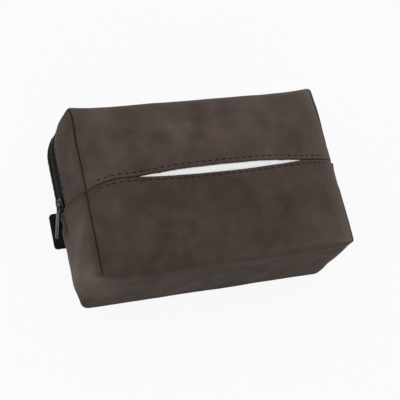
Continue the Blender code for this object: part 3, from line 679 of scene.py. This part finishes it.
def zip_line():
    """Places, directions and distances along the zip, from the left end's foot to the right end's."""
    corners = [(-HALF[0], -ZIP_FOOT), (-HALF[0], HALF[1]), (HALF[0], HALF[1]), (HALF[0], -ZIP_FOOT)]
    corners = [(x, y, ZIP_HEIGHT) for x, y in corners]
    sides = [
        np.linspace(start, end, round(math.dist(start, end) / ZIP_LINE_STEP), endpoint=False)
        for start, end in zip(corners, corners[1:])
    ]
    flat = np.vstack([*sides, corners[-1]])
    points = skin(flat)
    ahead = np.gradient(points, axis=0)
    above = skin(flat + (0, 0, ZIP_LINE_STEP)) - skin(flat - (0, 0, ZIP_LINE_STEP))
    outwards = np.cross(above, ahead)
    window = np.ones(5) / 5
    for axis in range(3):
        outwards[:, axis] = np.convolve(np.pad(outwards[:, axis], 2, mode="edge"), window, "valid")
    return distances(points), points, unit(ahead), unit(outwards)


ZIP_AT, ZIP_POINTS, ZIP_AHEAD, ZIP_OUT = zip_line()
CHAIN_END = ZIP_AT[-1] - CHAIN_END_ROOM


def on_zip(local):
    """Lays points on the zip, given as distance along it, across towards the slit, and lift off its middle."""
    at, across_by, lift = np.asarray(local, float).T
    point, ahead, outwards = (along(table, ZIP_AT, at) for table in (ZIP_POINTS, ZIP_AHEAD, ZIP_OUT))
    outwards = unit(outwards)
    return point + np.cross(ahead, outwards) * across_by[:, None] + outwards * (lift - CHAIN_SINK)[:, None]


def join(name, things):
    select_only(*things)
    bpy.ops.object.join()
    joined = bpy.context.object
    joined.name = name
    joined.data.name = name
    return joined


def copies(name, first, lay, places):
    """Copies of one small piece, each laid at its own place, joined as one."""
    made = []
    rest = coordinates(first.data)
    for at in places:
        copy = first.copy()
        copy.data = first.data.copy()
        link(copy)
        place(copy.data, lay(rest, at))
        made.append(copy)
    bpy.data.objects.remove(first)
    return join(name, made)


def make_tape(name, side, finish, node):
    """A woven tape beside the chain, under the leather's edge, that stays level past the zip's foot."""
    thing = cut_box(name, in_tape, side, TAPE_Z_CUTS)
    mesh = thing.data
    box = coordinates(mesh)
    mark(mesh, "along", np.where(box[:, 1] > HALF[1] - TINY, box[:, 0], box[:, 1]))
    mark(mesh, "across", box[:, 2] - ZIP_HEIGHT)
    level = np.where(at_end(box[:, :1]), np.maximum(box, (-LENGTH, TINY, 0)), box)
    laid = skin(box)
    laid[:, 0] = skin(level)[:, 0]
    laid[:, 0] += foot_dent(box[:, 1], box[:, 2]) * (box[:, 0] < TINY - HALF[0])
    place(mesh, laid)
    place(mesh, laid - normals(mesh) * TAPE_SINK)
    modifier(thing, "SOLIDIFY", thickness=TAPE_THICKNESS, offset=-1, use_even_offset=True)
    dress(thing, finish, "zip_tape", node)


def long_bar(name, low, high, widest, rounding, segments=2):
    """A bar along X between two corners, with rounded edges, cut across into steps near the widest."""
    thing = block(name, low, high)
    with editing():
        round_all(rounding, segments)
    while True:
        ends = coordinates(thing.data)[read(thing.data.edges, "vertices", np.int32, 2), 0]
        spans = abs(ends[:, 1] - ends[:, 0])
        longest = spans.max()
        if longest < widest * 1.2:
            return thing
        pick_edges(thing.data, spans > longest / 2)
        with editing(pick="EDGE"):
            bpy.ops.mesh.subdivide(number_cuts=min(60, max(1, round(longest / widest) - 1)))


def one_tooth(side):
    """A moulded tooth: a foot round the tape's cord, a neck, and a rounded head."""
    corner = np.array([TOOTH_HALF_LENGTH, 0, CHAIN_THICKNESS / 2])
    tooth = block("tooth", (0, TOOTH_FROM, 0) - corner, (0, TOOTH_TO, 0) + corner)
    with editing():
        cut_across(1, TOOTH_CUTS)
    for vert in tooth.data.vertices:
        across = vert.co.y
        vert.co.x *= next((share for end, share in TOOTH_WIDTHS if across < end), 1)
        vert.co.z *= TOOTH_NECK_HEIGHT if across < TOOTH_NECK_END else 1
        vert.co.y *= side
    face_outwards(tooth)
    modifier(tooth, "BEVEL", width=TOOTH_ROUNDING, segments=1, limit_method="ANGLE")
    return tooth


def make_chain(name, side, start, end, toothed_from, finish, node):
    """One side of a stretch of the chain: its cord and its teeth."""
    near, far = sorted((side * CORD_FROM, side * CHAIN_HALF))
    low, high = (start, near, -CORD_THICKNESS / 2), (end, far, CORD_THICKNESS / 2)
    cord = long_bar(name, low, high, CORD_STEP, CORD_ROUNDING)
    place(cord.data, on_zip(coordinates(cord.data)))
    phase = 0 if side > 0 else TOOTH_PITCH / 2
    first = CHAIN_START + TOOTH_PITCH / 4 + phase
    count = math.floor((end - first - LAST_TOOTH_ROOM) / TOOTH_PITCH) + 1
    places = [first + i * TOOTH_PITCH for i in range(count)]
    places = [at for at in places if at > max(toothed_from, start + FIRST_TOOTH_ROOM)]
    teeth = copies(name + "_teeth", one_tooth(side), lambda rest, at: on_zip(rest + (at, 0, 0)), places)
    dress(join(name, [cord, teeth]), finish, "zip_teeth", node)


# Stitches.


def one_stitch():
    """A stitch lying along X: a short stretch of twisted thread that dives at both ends."""
    bpy.ops.mesh.primitive_uv_sphere_add(segments=8, ring_count=7, radius=0.5)
    stitch = bpy.context.object
    points = coordinates(stitch.data)[:, [2, 1, 0]]
    to_end = abs(points[:, 0] * 2)
    plump = np.sqrt(np.maximum(0, 1 - to_end**3)) / np.sqrt(np.maximum(TINY, 1 - to_end**2))
    points[:, 1:] *= np.clip(plump, 0, STITCH_PLUMPNESS)[:, None]
    points *= (STITCH_LENGTH, STITCH_THICKNESS, STITCH_THICKNESS * STITCH_HEIGHT)
    points[:, 2] -= STITCH_DIVE * (points[:, 0] / (STITCH_LENGTH / 2)) ** 2
    place(stitch.data, points)
    face_outwards(stitch)
    return stitch


def stitch_row(name, flat, across, finish):
    """Stitches along a line of the box. across is a small step over the box, square to the line."""
    flat = np.asarray(flat, float)
    points = skin(flat)
    outwards = unit(np.cross(np.gradient(points, axis=0), skin(flat + across) - points))
    outwards *= np.sign(((points - (0, 0, HALF[2])) * outwards).sum(1))[:, None]
    at = distances(points)
    count = math.floor(at[-1] / STITCH_PITCH)
    margin = (at[-1] - count * STITCH_PITCH) / 2

    def lay(rest, middle):
        here = middle + rest[:, 0]
        normal = unit(along(outwards, at, here))
        ahead = unit(along(points, at, here + SHORT_STEP) - along(points, at, here - SHORT_STEP))
        raised = normal * (rest[:, 2:3] - STITCH_SINK)
        return along(points, at, here) + np.cross(normal, ahead) * rest[:, 1:2] + raised

    middles = [margin + (i + 0.5) * STITCH_PITCH for i in range(count)]
    dress(copies(name, one_stitch(), lay, middles), finish, "leather")


def make_stitches(finish):
    step = 0.0004
    for name, side in (("slit_stitches_upper", 1), ("slit_stitches_lower", -1)):
        line = [(x, side * SLIT_ROW, DEPTH) for x in np.arange(SLIT_ROW_FROM, SLIT_ROW_TO, ROW_STEP)]
        stitch_row(name, line, (0, side * step, 0), finish)
    for face, side in FACES:
        z = ZIP_HEIGHT + side * (ZIP_BAND / 2 + ZIP_ROW)
        start = ZIP_ROW_START if side > 0 else -ZIP_FOOT
        line = [(-HALF[0], y, z) for y in np.arange(start, HALF[1], ROW_STEP)]
        line += [(x, HALF[1], z) for x in np.arange(-HALF[0], HALF[0], ROW_STEP)]
        line += [(HALF[0], y, z) for y in np.arange(HALF[1], start, -ROW_STEP)]
        stitch_row(f"zip_stitches_{face}", line, (0, 0, step), finish)


# The tab.

TAB_ROUND, TAB_EDGE, TAB_LAYER_GAP, TAB_STEP = 0.0030, 0.00055, 0.00016, 0.0012
TAB_GROOVE_WIDTH, TAB_GROOVE, TAB_DROOP = 0.0003, 0.0004, 0.0006
TAB_STITCH_PITCH, TAB_STITCH_END, TAB_STITCH_SINK = 0.0030, 0.0006, 0.0001
TAB_STITCH_LENGTH_SHARE, TAB_STITCH_HEIGHT_SHARE = 0.75, 0.8
TAB_ROW_GROOVE, TAB_SWING, TAB_SWING_LENGTH = (0.0002, 0.0005), 0.00012, 0.011


def tab_outline(low, high):
    """The line of the tab's stitches: out from the seam, round both corners and back."""
    corner = TAB_ROUND - TAB_ROW
    turn = [math.pi / 2 * i / 8 for i in range(9)]
    upper = [(low.x + TAB_ROUND - corner * math.sin(a), high.y - TAB_ROUND + corner * math.cos(a)) for a in turn]
    lower = [(x, low.y + high.y - y) for x, y in reversed(upper)]
    end = high.x - TAB_STITCH_END
    return np.array([(end, high.y - TAB_ROW), *upper, *lower, (end, low.y + TAB_ROW)], float)


def make_tab(finish, thread):
    """Two layers of close webbing with rounded corners, sewn together near their edges."""
    low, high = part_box("side_tab")
    middle, size = (low + high) / 2, high - low
    tab = block("side_tab_webbing", low, high)
    ends = coordinates(tab.data)[read(tab.data.edges, "vertices", np.int32, 2)]
    pick_edges(tab.data, (abs(ends[:, 0, 2] - ends[:, 1, 2]) > TINY) & (ends[:, 0, 0] < middle.x))
    with editing(pick="EDGE"):
        bpy.ops.mesh.bevel(offset=TAB_ROUND, segments=7, profile=0.5, affect="EDGES")
    modifier(tab, "BEVEL", width=TAB_EDGE, segments=3, limit_method="ANGLE", angle_limit=math.radians(60))
    with editing():
        cut_across(2, (middle.z - TAB_LAYER_GAP, middle.z, middle.z + TAB_LAYER_GAP))
        cut_across(0, np.arange(low.x + 0.0005, high.x, TAB_STEP))
        cut_across(1, np.arange(low.y + 0.0006, high.y, TAB_STEP))
    points = coordinates(tab.data)
    x, y, z = points.T
    inner_low, inner_high = (low.x + TAB_ROUND, low.y + TAB_ROUND), (high.x, high.y - TAB_ROUND)
    to_core = points[:, :2] - np.clip(points[:, :2], inner_low, inner_high)
    inset = TAB_ROUND - np.linalg.norm(to_core, axis=1)
    from_middle = z - middle.z
    between = (abs(from_middle) < TINY) & (inset < TAB_GROOVE_WIDTH)
    points[between, :2] -= unit(to_core)[between] * TAB_GROOVE
    face = np.sign(from_middle) * (abs(from_middle) > size.z * 0.35)
    z -= face * groove(inset - TAB_ROW, *TAB_ROW_GROOVE)
    z -= TAB_DROOP * ((high.x - x) / size.x) ** 2
    z += TAB_SWING * ripple(points, TAB_SWING_LENGTH, 21)
    z[:] = np.maximum(z, low.z - TAB_DROOP)
    place(tab.data, points)
    dress(tab, finish, "webbing", "side_tab")
    line = tab_outline(low, high)
    at = distances(line)

    def lay(rest, middle_and_side):
        middle_at, side = middle_and_side
        here = middle_at + rest[:, 0] * TAB_STITCH_LENGTH_SHARE
        ahead = unit(along(line, at, here + 2 * SHORT_STEP) - along(line, at, here - 2 * SHORT_STEP))
        x, y = (along(line, at, here) + np.stack([-ahead[:, 1], ahead[:, 0]], 1) * rest[:, 1:2] * side).T
        surface = middle.z + side * size.z / 2 - TAB_DROOP * ((high.x - x) / size.x) ** 2
        raised = rest[:, 2] * TAB_STITCH_HEIGHT_SHARE - TAB_STITCH_SINK
        return np.stack([x, y, surface + side * raised], 1)

    count = math.floor(at[-1] / TAB_STITCH_PITCH)
    places = [((i + 0.5) * TAB_STITCH_PITCH, side) for side in (1, -1) for i in range(count)]
    dress(copies("tab_stitches", one_stitch(), lay, places), thread, "webbing")


# Inside the pouch: the bound seam allowances and the tissues.

BINDING_WIDTH, BINDING_THICKNESS, BINDING_ROUNDING, BINDING_STEP = 0.0070, 0.0024, 0.0007, 0.003
BINDING_WAVE, BINDING_WAVELENGTH, BINDING_END = 0.00035, 0.021, 0.004
PINCH, PINCH_AT, PINCH_SPREAD = 0.25, -0.0012, 0.0005


def make_binding(name, finish, node):
    """A seam allowance bound in folded tape, a little wavy along its length."""
    low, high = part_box(node)
    middle = (low + high) / 2
    corner = np.array([high.y - low.y, BINDING_WIDTH, BINDING_THICKNESS]) / 2
    bar = long_bar(name, -corner, corner, BINDING_STEP, BINDING_ROUNDING, 3)
    x, y, z = coordinates(bar.data).T
    inward = np.clip(y / BINDING_WIDTH, 0, 1)
    ends = ease((corner[0] - abs(x)) / BINDING_END)
    z += BINDING_WAVE * np.sin(x * 2 * math.pi / BINDING_WAVELENGTH) * inward * ends
    z *= 1 - PINCH * bell(y - PINCH_AT, PINCH_SPREAD)
    in_x, in_z = -np.sign(middle.x), -np.sign(middle.z - HALF[2])
    diagonal = np.array([in_x, 0, in_z]) / math.sqrt(2)
    square = np.array([-in_z, 0, in_x]) / math.sqrt(2)
    laid = np.array(middle) + y[:, None] * diagonal + z[:, None] * square
    laid[:, 1] = middle.y + x
    place(bar.data, laid)
    face_outwards(bar)
    dress(bar, finish, "binding", node)


STACK_CROWN, STACK_ROUND, STACK_STEPS = 0.008, 0.004, (0.009, 0.009, 0.0022)
STACK_SWAY, STACK_FOLDS, STACK_UNEVENNESS = 0.0008, 2.5, 0.0005
SHEET_LENGTH, SHEET_SPREAD, SHEET_THICKNESS, SHEET_CROWDING = 0.150, 0.070, 0.00035, 1.6
SHEET_TOP_DEPTH, SHEET_END_DEPTH, SHEET_DIP, SHEET_FALL = 0.0019, 0.0012, 0.0035, 0.0029
NARROW_LENS, CLOSED_LENS, LIP_ROOM, LIFT_FALL = 0.0035, 0.0004, 0.0004, (0.0665, 0.006)
SHOULDER, SHOULDER_LOSS, FALL_FROM, FALL_POWER = 0.0030, 0.0014, 0.005, 0.7
CRUMPLE, RIDGE_CRUMPLE_SHARE = 0.0007, 0.35

# Waves across the drawn sheet: a height, a wavelength, a phase, and how far to each side they reach.
SHEET_WAVES = ((0.0004, 0.031, 1.3, 0.004), (0.0003, 0.011, 0.0, 0.003))


def stack_top(x, y, low, high):
    lengthwise = 1 - (2 * x / (high.x - low.x)) ** 2
    across = 1 - (2 * y / (high.y - low.y)) ** 2
    return high.z - STACK_CROWN + STACK_CROWN * np.maximum(0, lengthwise) * np.maximum(0, across)


def make_pack(finish):
    """A soft pack of folded sheets, its sides layered and a little drawn in."""
    low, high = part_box("tissue_stack")
    stack = block("tissue_pack", low, high)
    with editing():
        round_all(STACK_ROUND, 4)
        for axis, step in enumerate(STACK_STEPS):
            cut_across(axis, np.arange(low[axis] + STACK_ROUND + step / 2, high[axis] - STACK_ROUND, step))
    points = coordinates(stack.data)
    x, y, z = points.T
    height = (z - low.z) / (high.z - low.z)
    z[:] = low.z + height * (stack_top(x, y, low, high) - low.z)
    uneven = STACK_UNEVENNESS * ripple(points * (0.4, 0.4, 2.5), 0.01, 31)
    sway = STACK_SWAY * np.sin(height * 2 * math.pi * STACK_FOLDS) + uneven
    for way, reach in ((y, 0.05), (x, 0.08)):
        way += np.sign(way) * np.minimum(0, sway - STACK_SWAY) * ease(abs(way) / reach)
    place(stack.data, points)
    dress(stack, finish, "tissue", "tissue_stack")


def make_drawn_sheet(finish):
    """The folded sheet that is drawn up into the slit: a ridge under the lips that falls away to the pack."""
    low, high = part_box("tissue_stack")
    bpy.ops.mesh.primitive_grid_add(x_subdivisions=110, y_subdivisions=70, size=1)
    sheet = bpy.context.object
    sheet.name = "drawn_tissue"
    points = coordinates(sheet.data)
    x = points[:, 0] * SHEET_LENGTH
    across = points[:, 1] * 2
    y = np.sign(across) * abs(across) ** SHEET_CROWDING * SHEET_SPREAD / 2
    lens = slit_lens(x)
    lift = 1 - rise(abs(x - SLIT_MIDDLE), *LIFT_FALL)
    lie = stack_top(x, y, low, high) + SHEET_THICKNESS + CLEARANCE
    face = DEPTH + crown(x, 0)
    narrow, closed = ease(1 - lens / NARROW_LENS), ease(1 - lens / CLOSED_LENS)
    drawn = face - SHEET_TOP_DEPTH * (1 - narrow) - SHEET_END_DEPTH * narrow - SHEET_DIP * closed
    ridge = np.maximum(0, lens / 2 - LIP_ROOM)
    under_lip = face - SHEET_TOP_DEPTH - SHEET_FALL
    blend = ease((abs(y) - ridge) / (SHOULDER - SHOULDER_LOSS * narrow))
    fall = rise(abs(y), FALL_FROM, SHEET_SPREAD / 2 - FALL_FROM) ** FALL_POWER
    z = drawn * (1 - blend) + blend * (under_lip * (1 - fall) + lie * fall)
    z = lie + (z - lie) * lift
    waves = sum(
        height * np.sin(x * 2 * math.pi / length + phase) * bell(y, reach)
        for height, length, phase, reach in SHEET_WAVES
    )
    laid = np.stack([x, y + slit_drift(x) + waves * (1 - narrow), z], 1)
    crumple = 0.5 + 0.5 * ripple(laid * (1, 2.2, 1), 0.008, 41)
    laid[:, 2] -= CRUMPLE * crumple * (RIDGE_CRUMPLE_SHARE + (1 - RIDGE_CRUMPLE_SHARE) * blend)
    place(sheet.data, laid)
    modifier(sheet, "SOLIDIFY", thickness=SHEET_THICKNESS, offset=-1, use_even_offset=False)
    dress(sheet, finish, "tissue", "top_tissue")


# Finishes.


class Value:
    """A socket of a material. Sums written with it add Math nodes."""

    def __init__(self, finish, socket):
        self.finish, self.socket = finish, socket

    def __add__(self, other):
        return self.finish.maths("ADD", self, other)

    def __rsub__(self, other):
        return self.finish.maths("SUBTRACT", other, self)

    def __mul__(self, other):
        return self.finish.maths("MULTIPLY", self, other)

    __radd__ = __add__
    __rmul__ = __mul__


class Nodes:
    """A tree of nodes in the making: node() adds any node, and maths() a Math node."""

    def __init__(self, owner):
        owner.use_nodes = True
        self.tree = owner.node_tree

    def feed(self, socket, value):
        if isinstance(value, Value):
            self.tree.links.new(value.socket, socket)
        elif socket.type == "RGBA" and len(value) == 3:
            socket.default_value = (*value, 1)
        else:
            socket.default_value = value

    def node(self, kind, settings=(), inlets=(), outlet=0):
        made = self.tree.nodes.new(kind)
        for key, value in dict(settings).items():
            setattr(made, key, value)
        for key, value in dict(inlets).items():
            self.feed(made.inputs[key], value)
        return Value(self, made.outputs[outlet])

    def maths(self, operation, first, second=0.0):
        return self.node("ShaderNodeMath", {"operation": operation}, {0: first, 1: second})

    def rays(self, first, *others):
        """1 for light rays of any of these kinds, else 0."""
        found = self.node("ShaderNodeLightPath", outlet=first)
        for kind in others:
            found = self.maths("MAXIMUM", found, self.node("ShaderNodeLightPath", outlet=kind))
        return found


class Finish(Nodes):
    """A material in the making. Its shader's sockets are set by name."""

    def __init__(self, name, **sockets):
        self.material = bpy.data.materials.new(name)
        super().__init__(self.material)
        self.shader = self.tree.nodes["Principled BSDF"]
        for socket, value in sockets.items():
            self.set(socket.replace("_", " "), value)

    def set(self, socket, value):
        self.feed(self.shader.inputs[socket], value)

    def where(self, stretch=(1, 1, 1), turn=(0, 0, 0)):
        """Places on the object, stretched and turned."""
        place_on = self.node("ShaderNodeTexCoord", outlet=3)
        return self.node("ShaderNodeMapping", {}, {"Vector": place_on, "Scale": stretch, "Rotation": turn})

    def cloud(self, scale, low=0.35, high=0.65, detail=3.0, roughness=0.55, at=None, seed=0.0):
        """Noise drawn apart so that it runs from 0 to 1 between two levels."""
        inlets = {"Vector": at or self.where(), "W": seed, "Scale": scale}
        inlets |= {"Detail": detail, "Roughness": roughness}
        raw = self.node("ShaderNodeTexNoise", {"noise_dimensions": "4D"}, inlets)
        return self.node("ShaderNodeMapRange", {}, {0: raw, 1: low, 2: high, 3: 0.0, 4: 1.0})

    def wave(self, coordinate, length):
        """A sine from 0 to 1 along a coordinate."""
        return self.maths("SINE", coordinate * (2 * math.pi / length)) * 0.5 + 0.5

    def part_of(self, vector, axis):
        return self.node("ShaderNodeSeparateXYZ", {}, {0: vector}, axis)

    def kept(self, name):
        """A number that the piece keeps on its points."""
        return self.node("ShaderNodeAttribute", {"attribute_name": name}, {}, 2)

    def mix(self, first, second, share):
        return self.node("ShaderNodeMix", {"data_type": "RGBA"}, {0: share, 6: first, 7: second}, 2)

    def cover(self, colour, roughness, height, strength, distance):
        """Sets the colour, the roughness and a bump made from a height, and gives the material."""
        inlets = {"Strength": strength, "Distance": distance, "Height": height}
        self.set("Base Color", colour)
        self.set("Roughness", roughness)
        self.set("Normal", self.node("ShaderNodeBump", {}, inlets))
        return self.material


def shade(red, green, blue):
    """Linear colour of an sRGB one from 0 to 255."""
    def linear(level):
        level /= 255
        return level / 12.92 if level <= 0.04045 else ((level + 0.055) / 1.055) ** 2.4
    return tuple(linear(level) for level in (red, green, blue))


def brushed_leather(name, dark, pale):
    """Brushed faux leather: cloudy, matt, fine-napped, with painted shade, and paler with rub and painted light.
    """
    leather = Finish(name, Sheen_Weight=0.04, Sheen_Roughness=0.35, Specular_IOR_Level=0.03)
    broad = leather.cloud(21, 0.38, 0.62, 2.0, seed=1.3)
    patches = leather.cloud(48, 0.36, 0.64, 2.0, seed=4.1)
    warm = leather.cloud(58, 0.45, 0.70, 2.0, seed=7.7)
    olive = leather.cloud(50, 0.46, 0.72, 2.0, seed=9.2)
    nap = leather.cloud(900, 0.30, 0.70, 2.0, seed=2.0)
    scuffs = leather.cloud(130, 0.62, 0.78, 4.0, 0.65, at=leather.where((1, 4.5, 1), (0, 0, 0.5)), seed=5.5)
    colour = leather.mix(dark, pale, broad)
    for tone, share in (
        ((55, 47, 42), (1 - patches) * 0.6),
        ((84, 71, 68), warm * 0.6),
        ((71, 63, 52), olive * 0.6),
        ((96, 84, 77), scuffs * 0.25),
        ((50, 42, 37), nap * 0.12),
        # Pale rub, and painted light, highlights and sheen.
        ((112, 101, 95), leather.kept("wear") * 0.35),
        # Painted shade in the seams, the stitch rows, the crease and along the foot.
        ((26, 20, 16), leather.kept("seam") * 0.92),
    ):
        colour = leather.mix(colour, shade(*tone), share)
    grain = leather.cloud(1500, 0.2, 0.8, 3.0, seed=3.0)
    roughness = 0.62 + patches * 0.08 + nap * 0.08
    return leather.cover(colour, roughness, grain * 0.6 + nap * 0.5 + patches * 0.7, 0.35, 0.00012)


def thread(name, colour):
    """Twisted sewing thread."""
    made = Finish(name, Specular_IOR_Level=0.05)
    at = made.where()
    twist = made.wave(made.part_of(at, 0) + made.part_of(at, 1) + made.part_of(at, 2), 0.00055)
    twisted = made.mix(colour, [c * 0.45 for c in colour], twist * 0.7)
    return made.cover(twisted, 0.55 + twist * 0.15, twist, 0.5, 0.0001)


def woven(name, colour, pale, pitch, kept=()):
    """A close weave over two numbers kept on the piece, or over its places along X and Y."""
    made = Finish(name, Sheen_Weight=0.04, Specular_IOR_Level=0.04)
    run, cross = [made.kept(key) for key in kept] or [made.part_of(made.where(), axis) for axis in (0, 1)]
    ribs = made.wave(run + cross * 0.5, pitch)
    picks = made.wave(run * -0.5 + cross, pitch * 0.8)
    weave = ribs * 0.6 + picks * 0.4
    fluff = made.cloud(1100, 0.3, 0.7, 3.0)
    yarn = made.mix(shade(*colour), shade(*pale), weave * 0.45 + fluff * 0.3)
    return made.cover(yarn, 0.78 + weave * 0.12, weave + fluff * 0.3, 0.5, 0.00018)


def moulded_teeth():
    made = Finish("moulded_teeth", Specular_IOR_Level=0.08)
    wear = made.cloud(420, 0.45, 0.75, 3.0)
    colour = made.mix(shade(20, 22, 19), shade(40, 42, 38), wear * 0.5)
    return made.cover(colour, 0.46 + wear * 0.2, wear, 0.2, 0.00005)


def gunmetal():
    """Plated zinc: dark, softly polished and mottled, with fine scratches."""
    made = Finish("gunmetal", Metallic=1.0)
    scratches = made.cloud(700, 0.5, 0.8, 4.0, 0.7, at=made.where((1, 14, 1), (0.3, 0.2, 0.7)))
    mottle = made.cloud(160, 0.35, 0.7, 3.0)
    colour = made.mix(shade(40, 41, 37), shade(64, 64, 59), mottle)
    colour = made.mix(colour, shade(116, 115, 108), scratches * 0.3)
    return made.cover(colour, 0.26 + mottle * 0.1 + scratches * 0.12, scratches, 0.15, 0.00003)


def white_tissue():
    """Soft white paper, with a faint quilted emboss and loose fibres."""
    made = Finish("white_tissue", Sheen_Weight=0.1, Specular_IOR_Level=0.1, Subsurface_Weight=0.25)
    made.set("Subsurface Radius", (1, 1, 1))
    made.set("Subsurface Scale", 0.002)
    at = made.where()
    dots = made.wave(made.part_of(at, 0), 0.0016) * made.wave(made.part_of(at, 1), 0.0016)
    fibres = made.cloud(1300, 0.3, 0.7, 4.0, at=made.where((1, 3, 1)))
    colour = made.mix(shade(253, 253, 252), shade(245, 245, 243), fibres * 0.5)
    return made.cover(colour, 0.95, dots * 0.5 + fibres * 0.5, 0.25, 0.0001)


# The slider, its puller and the stops keep their solids' places and shapes, with their edges softened.

METAL_PIECES = (
    ("zip_slider", "slider", 0.00012),
    ("zip_puller", "puller", 0.00025),
    ("zip_top_stop_front", "holder", 0.0001),
    ("zip_top_stop_back", "holder", 0.0001),
    ("zip_bottom_stop", "holder", 0.0001),
)


def soften_solid(node, finish, body, width):
    """A copy of a solid with its doubles merged and its edges rounded, which stands for it."""
    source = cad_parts[node]
    thing = source.copy()
    thing.data = source.data.copy()
    for key in list(thing.keys()):
        del thing[key]
    thing.parent = None
    thing.name = node + "_metal"
    thing.data.name = thing.name
    link(thing)
    thing.matrix_world = Matrix.Identity(4)
    select_only(thing)
    with editing():
        pick_all()
        bpy.ops.mesh.remove_doubles(threshold=0.00001)
        bpy.ops.mesh.dissolve_limited(angle_limit=math.radians(1))
        bpy.ops.mesh.normals_make_consistent(inside=False)
    old_normals = thing.data.attributes.get("custom_normal")
    if old_normals:
        thing.data.attributes.remove(old_normals)
    modifier(thing, "BEVEL", width=width, segments=2, limit_method="ANGLE", angle_limit=math.radians(35))
    dress(thing, finish, "zip_metal", node, body=body)
    bpy.ops.object.shade_smooth_by_angle(angle=math.radians(38))


# Floor, light and camera.

FLOOR_GAP, FLOOR_LIFT, WORLD_LEVEL = 0.0003, 0.92, 0.42
LAMPS = {
    "key": ((-0.2, 0.4, 1.15), 0.9, 7.5),
    "fill": ((0.05, -1.0, 0.35), 0.9, 3.6),
    "left": ((-0.9, 0.1, 0.3), 0.7, 1.5),
    "right": ((0.9, 0.3, 0.4), 0.7, 1.2),
}
CAMERA_AT = Vector((-0.2514, -0.2530, 0.7238))
CAMERA_FORWARD = Vector((0.3262, 0.3242, -0.8879)).normalized()
CAMERA_UP = Vector((0.1108, 0.9197, 0.3766))
PHOTO_SIZE, FOCAL_PIXELS, SENSOR = 400, 959.7, 36.0


def make_floor():
    """A pale floor whose own shadowed look is kept, lifted to white for the camera and for reflections."""
    bpy.ops.mesh.primitive_plane_add(size=6, location=(0, 0, cad_low.z - FLOOR_GAP))
    floor = bpy.context.object
    floor.name = "floor"
    pale = Finish("pale_floor", Base_Color=(0.5, 0.5, 0.5), Roughness=0.9)
    own = Value(pale, pale.shader.outputs[0])
    glow = pale.node("ShaderNodeEmission", {}, {"Strength": 1.0})
    share = pale.rays("Is Camera Ray", "Is Glossy Ray") * FLOOR_LIFT
    lifted = pale.node("ShaderNodeMixShader", {}, {0: share, 1: own, 2: glow})
    pale.feed(pale.tree.nodes["Material Output"].inputs["Surface"], lifted)
    floor.data.materials.append(pale.material)


def make_light():
    """A world that is white to the camera and in reflections and dimmer on the object, and soft lamps."""
    world = bpy.data.worlds.new("studio")
    bpy.context.scene.world = world
    studio = Nodes(world)
    seen = studio.rays("Is Camera Ray", "Is Transmission Ray", "Is Glossy Ray")
    backdrop = studio.tree.nodes["Background"].inputs
    studio.feed(backdrop["Color"], (1, 1, 1))
    studio.feed(backdrop["Strength"], studio.node("ShaderNodeMapRange", {}, {0: seen, 3: WORLD_LEVEL, 4: 1.0}))
    for name, (at, size, power) in LAMPS.items():
        lamp = bpy.data.lights.new(name, "AREA")
        lamp.shape = "DISK"
        lamp.size = size
        lamp.energy = power
        holder = bpy.data.objects.new(name, lamp)
        holder.location = at
        holder.rotation_euler = (Vector((0, 0, HALF[2])) - Vector(at)).to_track_quat("-Z", "Y").to_euler()
        link(holder)


def make_camera():
    camera = bpy.data.objects.new("camera", bpy.data.cameras.new("camera"))
    link(camera)
    up = (CAMERA_UP - CAMERA_FORWARD * CAMERA_UP.dot(CAMERA_FORWARD)).normalized()
    right = CAMERA_FORWARD.cross(up)
    turned = Matrix((right, up, -CAMERA_FORWARD)).transposed().to_4x4()
    camera.matrix_world = Matrix.Translation(CAMERA_AT) @ turned
    camera.data.sensor_width = SENSOR
    camera.data.lens = FOCAL_PIXELS * SENSOR / PHOTO_SIZE
    bpy.context.scene.camera = camera


def build():
    bpy.context.scene.view_settings.view_transform = "Standard"
    make_camera()
    make_light()
    make_floor()
    bpy.ops.object.select_all(action="DESELECT")
    # One leather in two copies: the upper panel's is painted paler, for the light that falls on the upper half of
    # the slit face.
    main = brushed_leather("brushed_leather_main", shade(61, 53, 47), shade(76, 66, 60))
    upper = brushed_leather("brushed_leather_upper_painted_light", shade(72, 62, 58), shade(91, 79, 75))
    brown_thread = thread("brown_thread", shade(34, 26, 21))
    black_thread = thread("black_thread", shade(30, 30, 28))
    teeth, metal = moulded_teeth(), gunmetal()
    tape = woven("zip_tape_weave", (12, 13, 12), (30, 32, 29), 0.0009, ("along", "across"))
    make_panel("upper_leather", 1, upper, "upper_panel")
    make_panel("main_leather", -1, main, "main_panel")
    run_end = CHAIN_START + RUN_LENGTH
    for face, side in FACES:
        make_tape(f"{face}_tape", side, tape, f"zip_tape_{face}")
    for face, side in FACES:
        run = (CHAIN_START, run_end, TOOTHED_FROM)
        rest = (run_end + CLEARANCE, CHAIN_END, 0)
        make_chain(f"run_chain_{face}", side, *run, teeth, f"zip_run_teeth_{face}")
        make_chain(f"chain_{face}", side, *rest, teeth, f"zip_teeth_{face}")
    make_stitches(brown_thread)
    make_tab(woven("tab_weave", (20, 20, 18), (40, 40, 37), 0.0007), black_thread)
    binding = woven("binding_weave", (26, 26, 25), (44, 44, 42), 0.0008)
    for end in ("left", "right"):
        for face, _ in FACES:
            make_binding(f"{end}_{face}_bias_tape", binding, f"{end}_{face}_binding")
    tissue = white_tissue()
    make_pack(tissue)
    make_drawn_sheet(tissue)
    for node, body, width in METAL_PIECES:
        soften_solid(node, metal, body, width)


build()
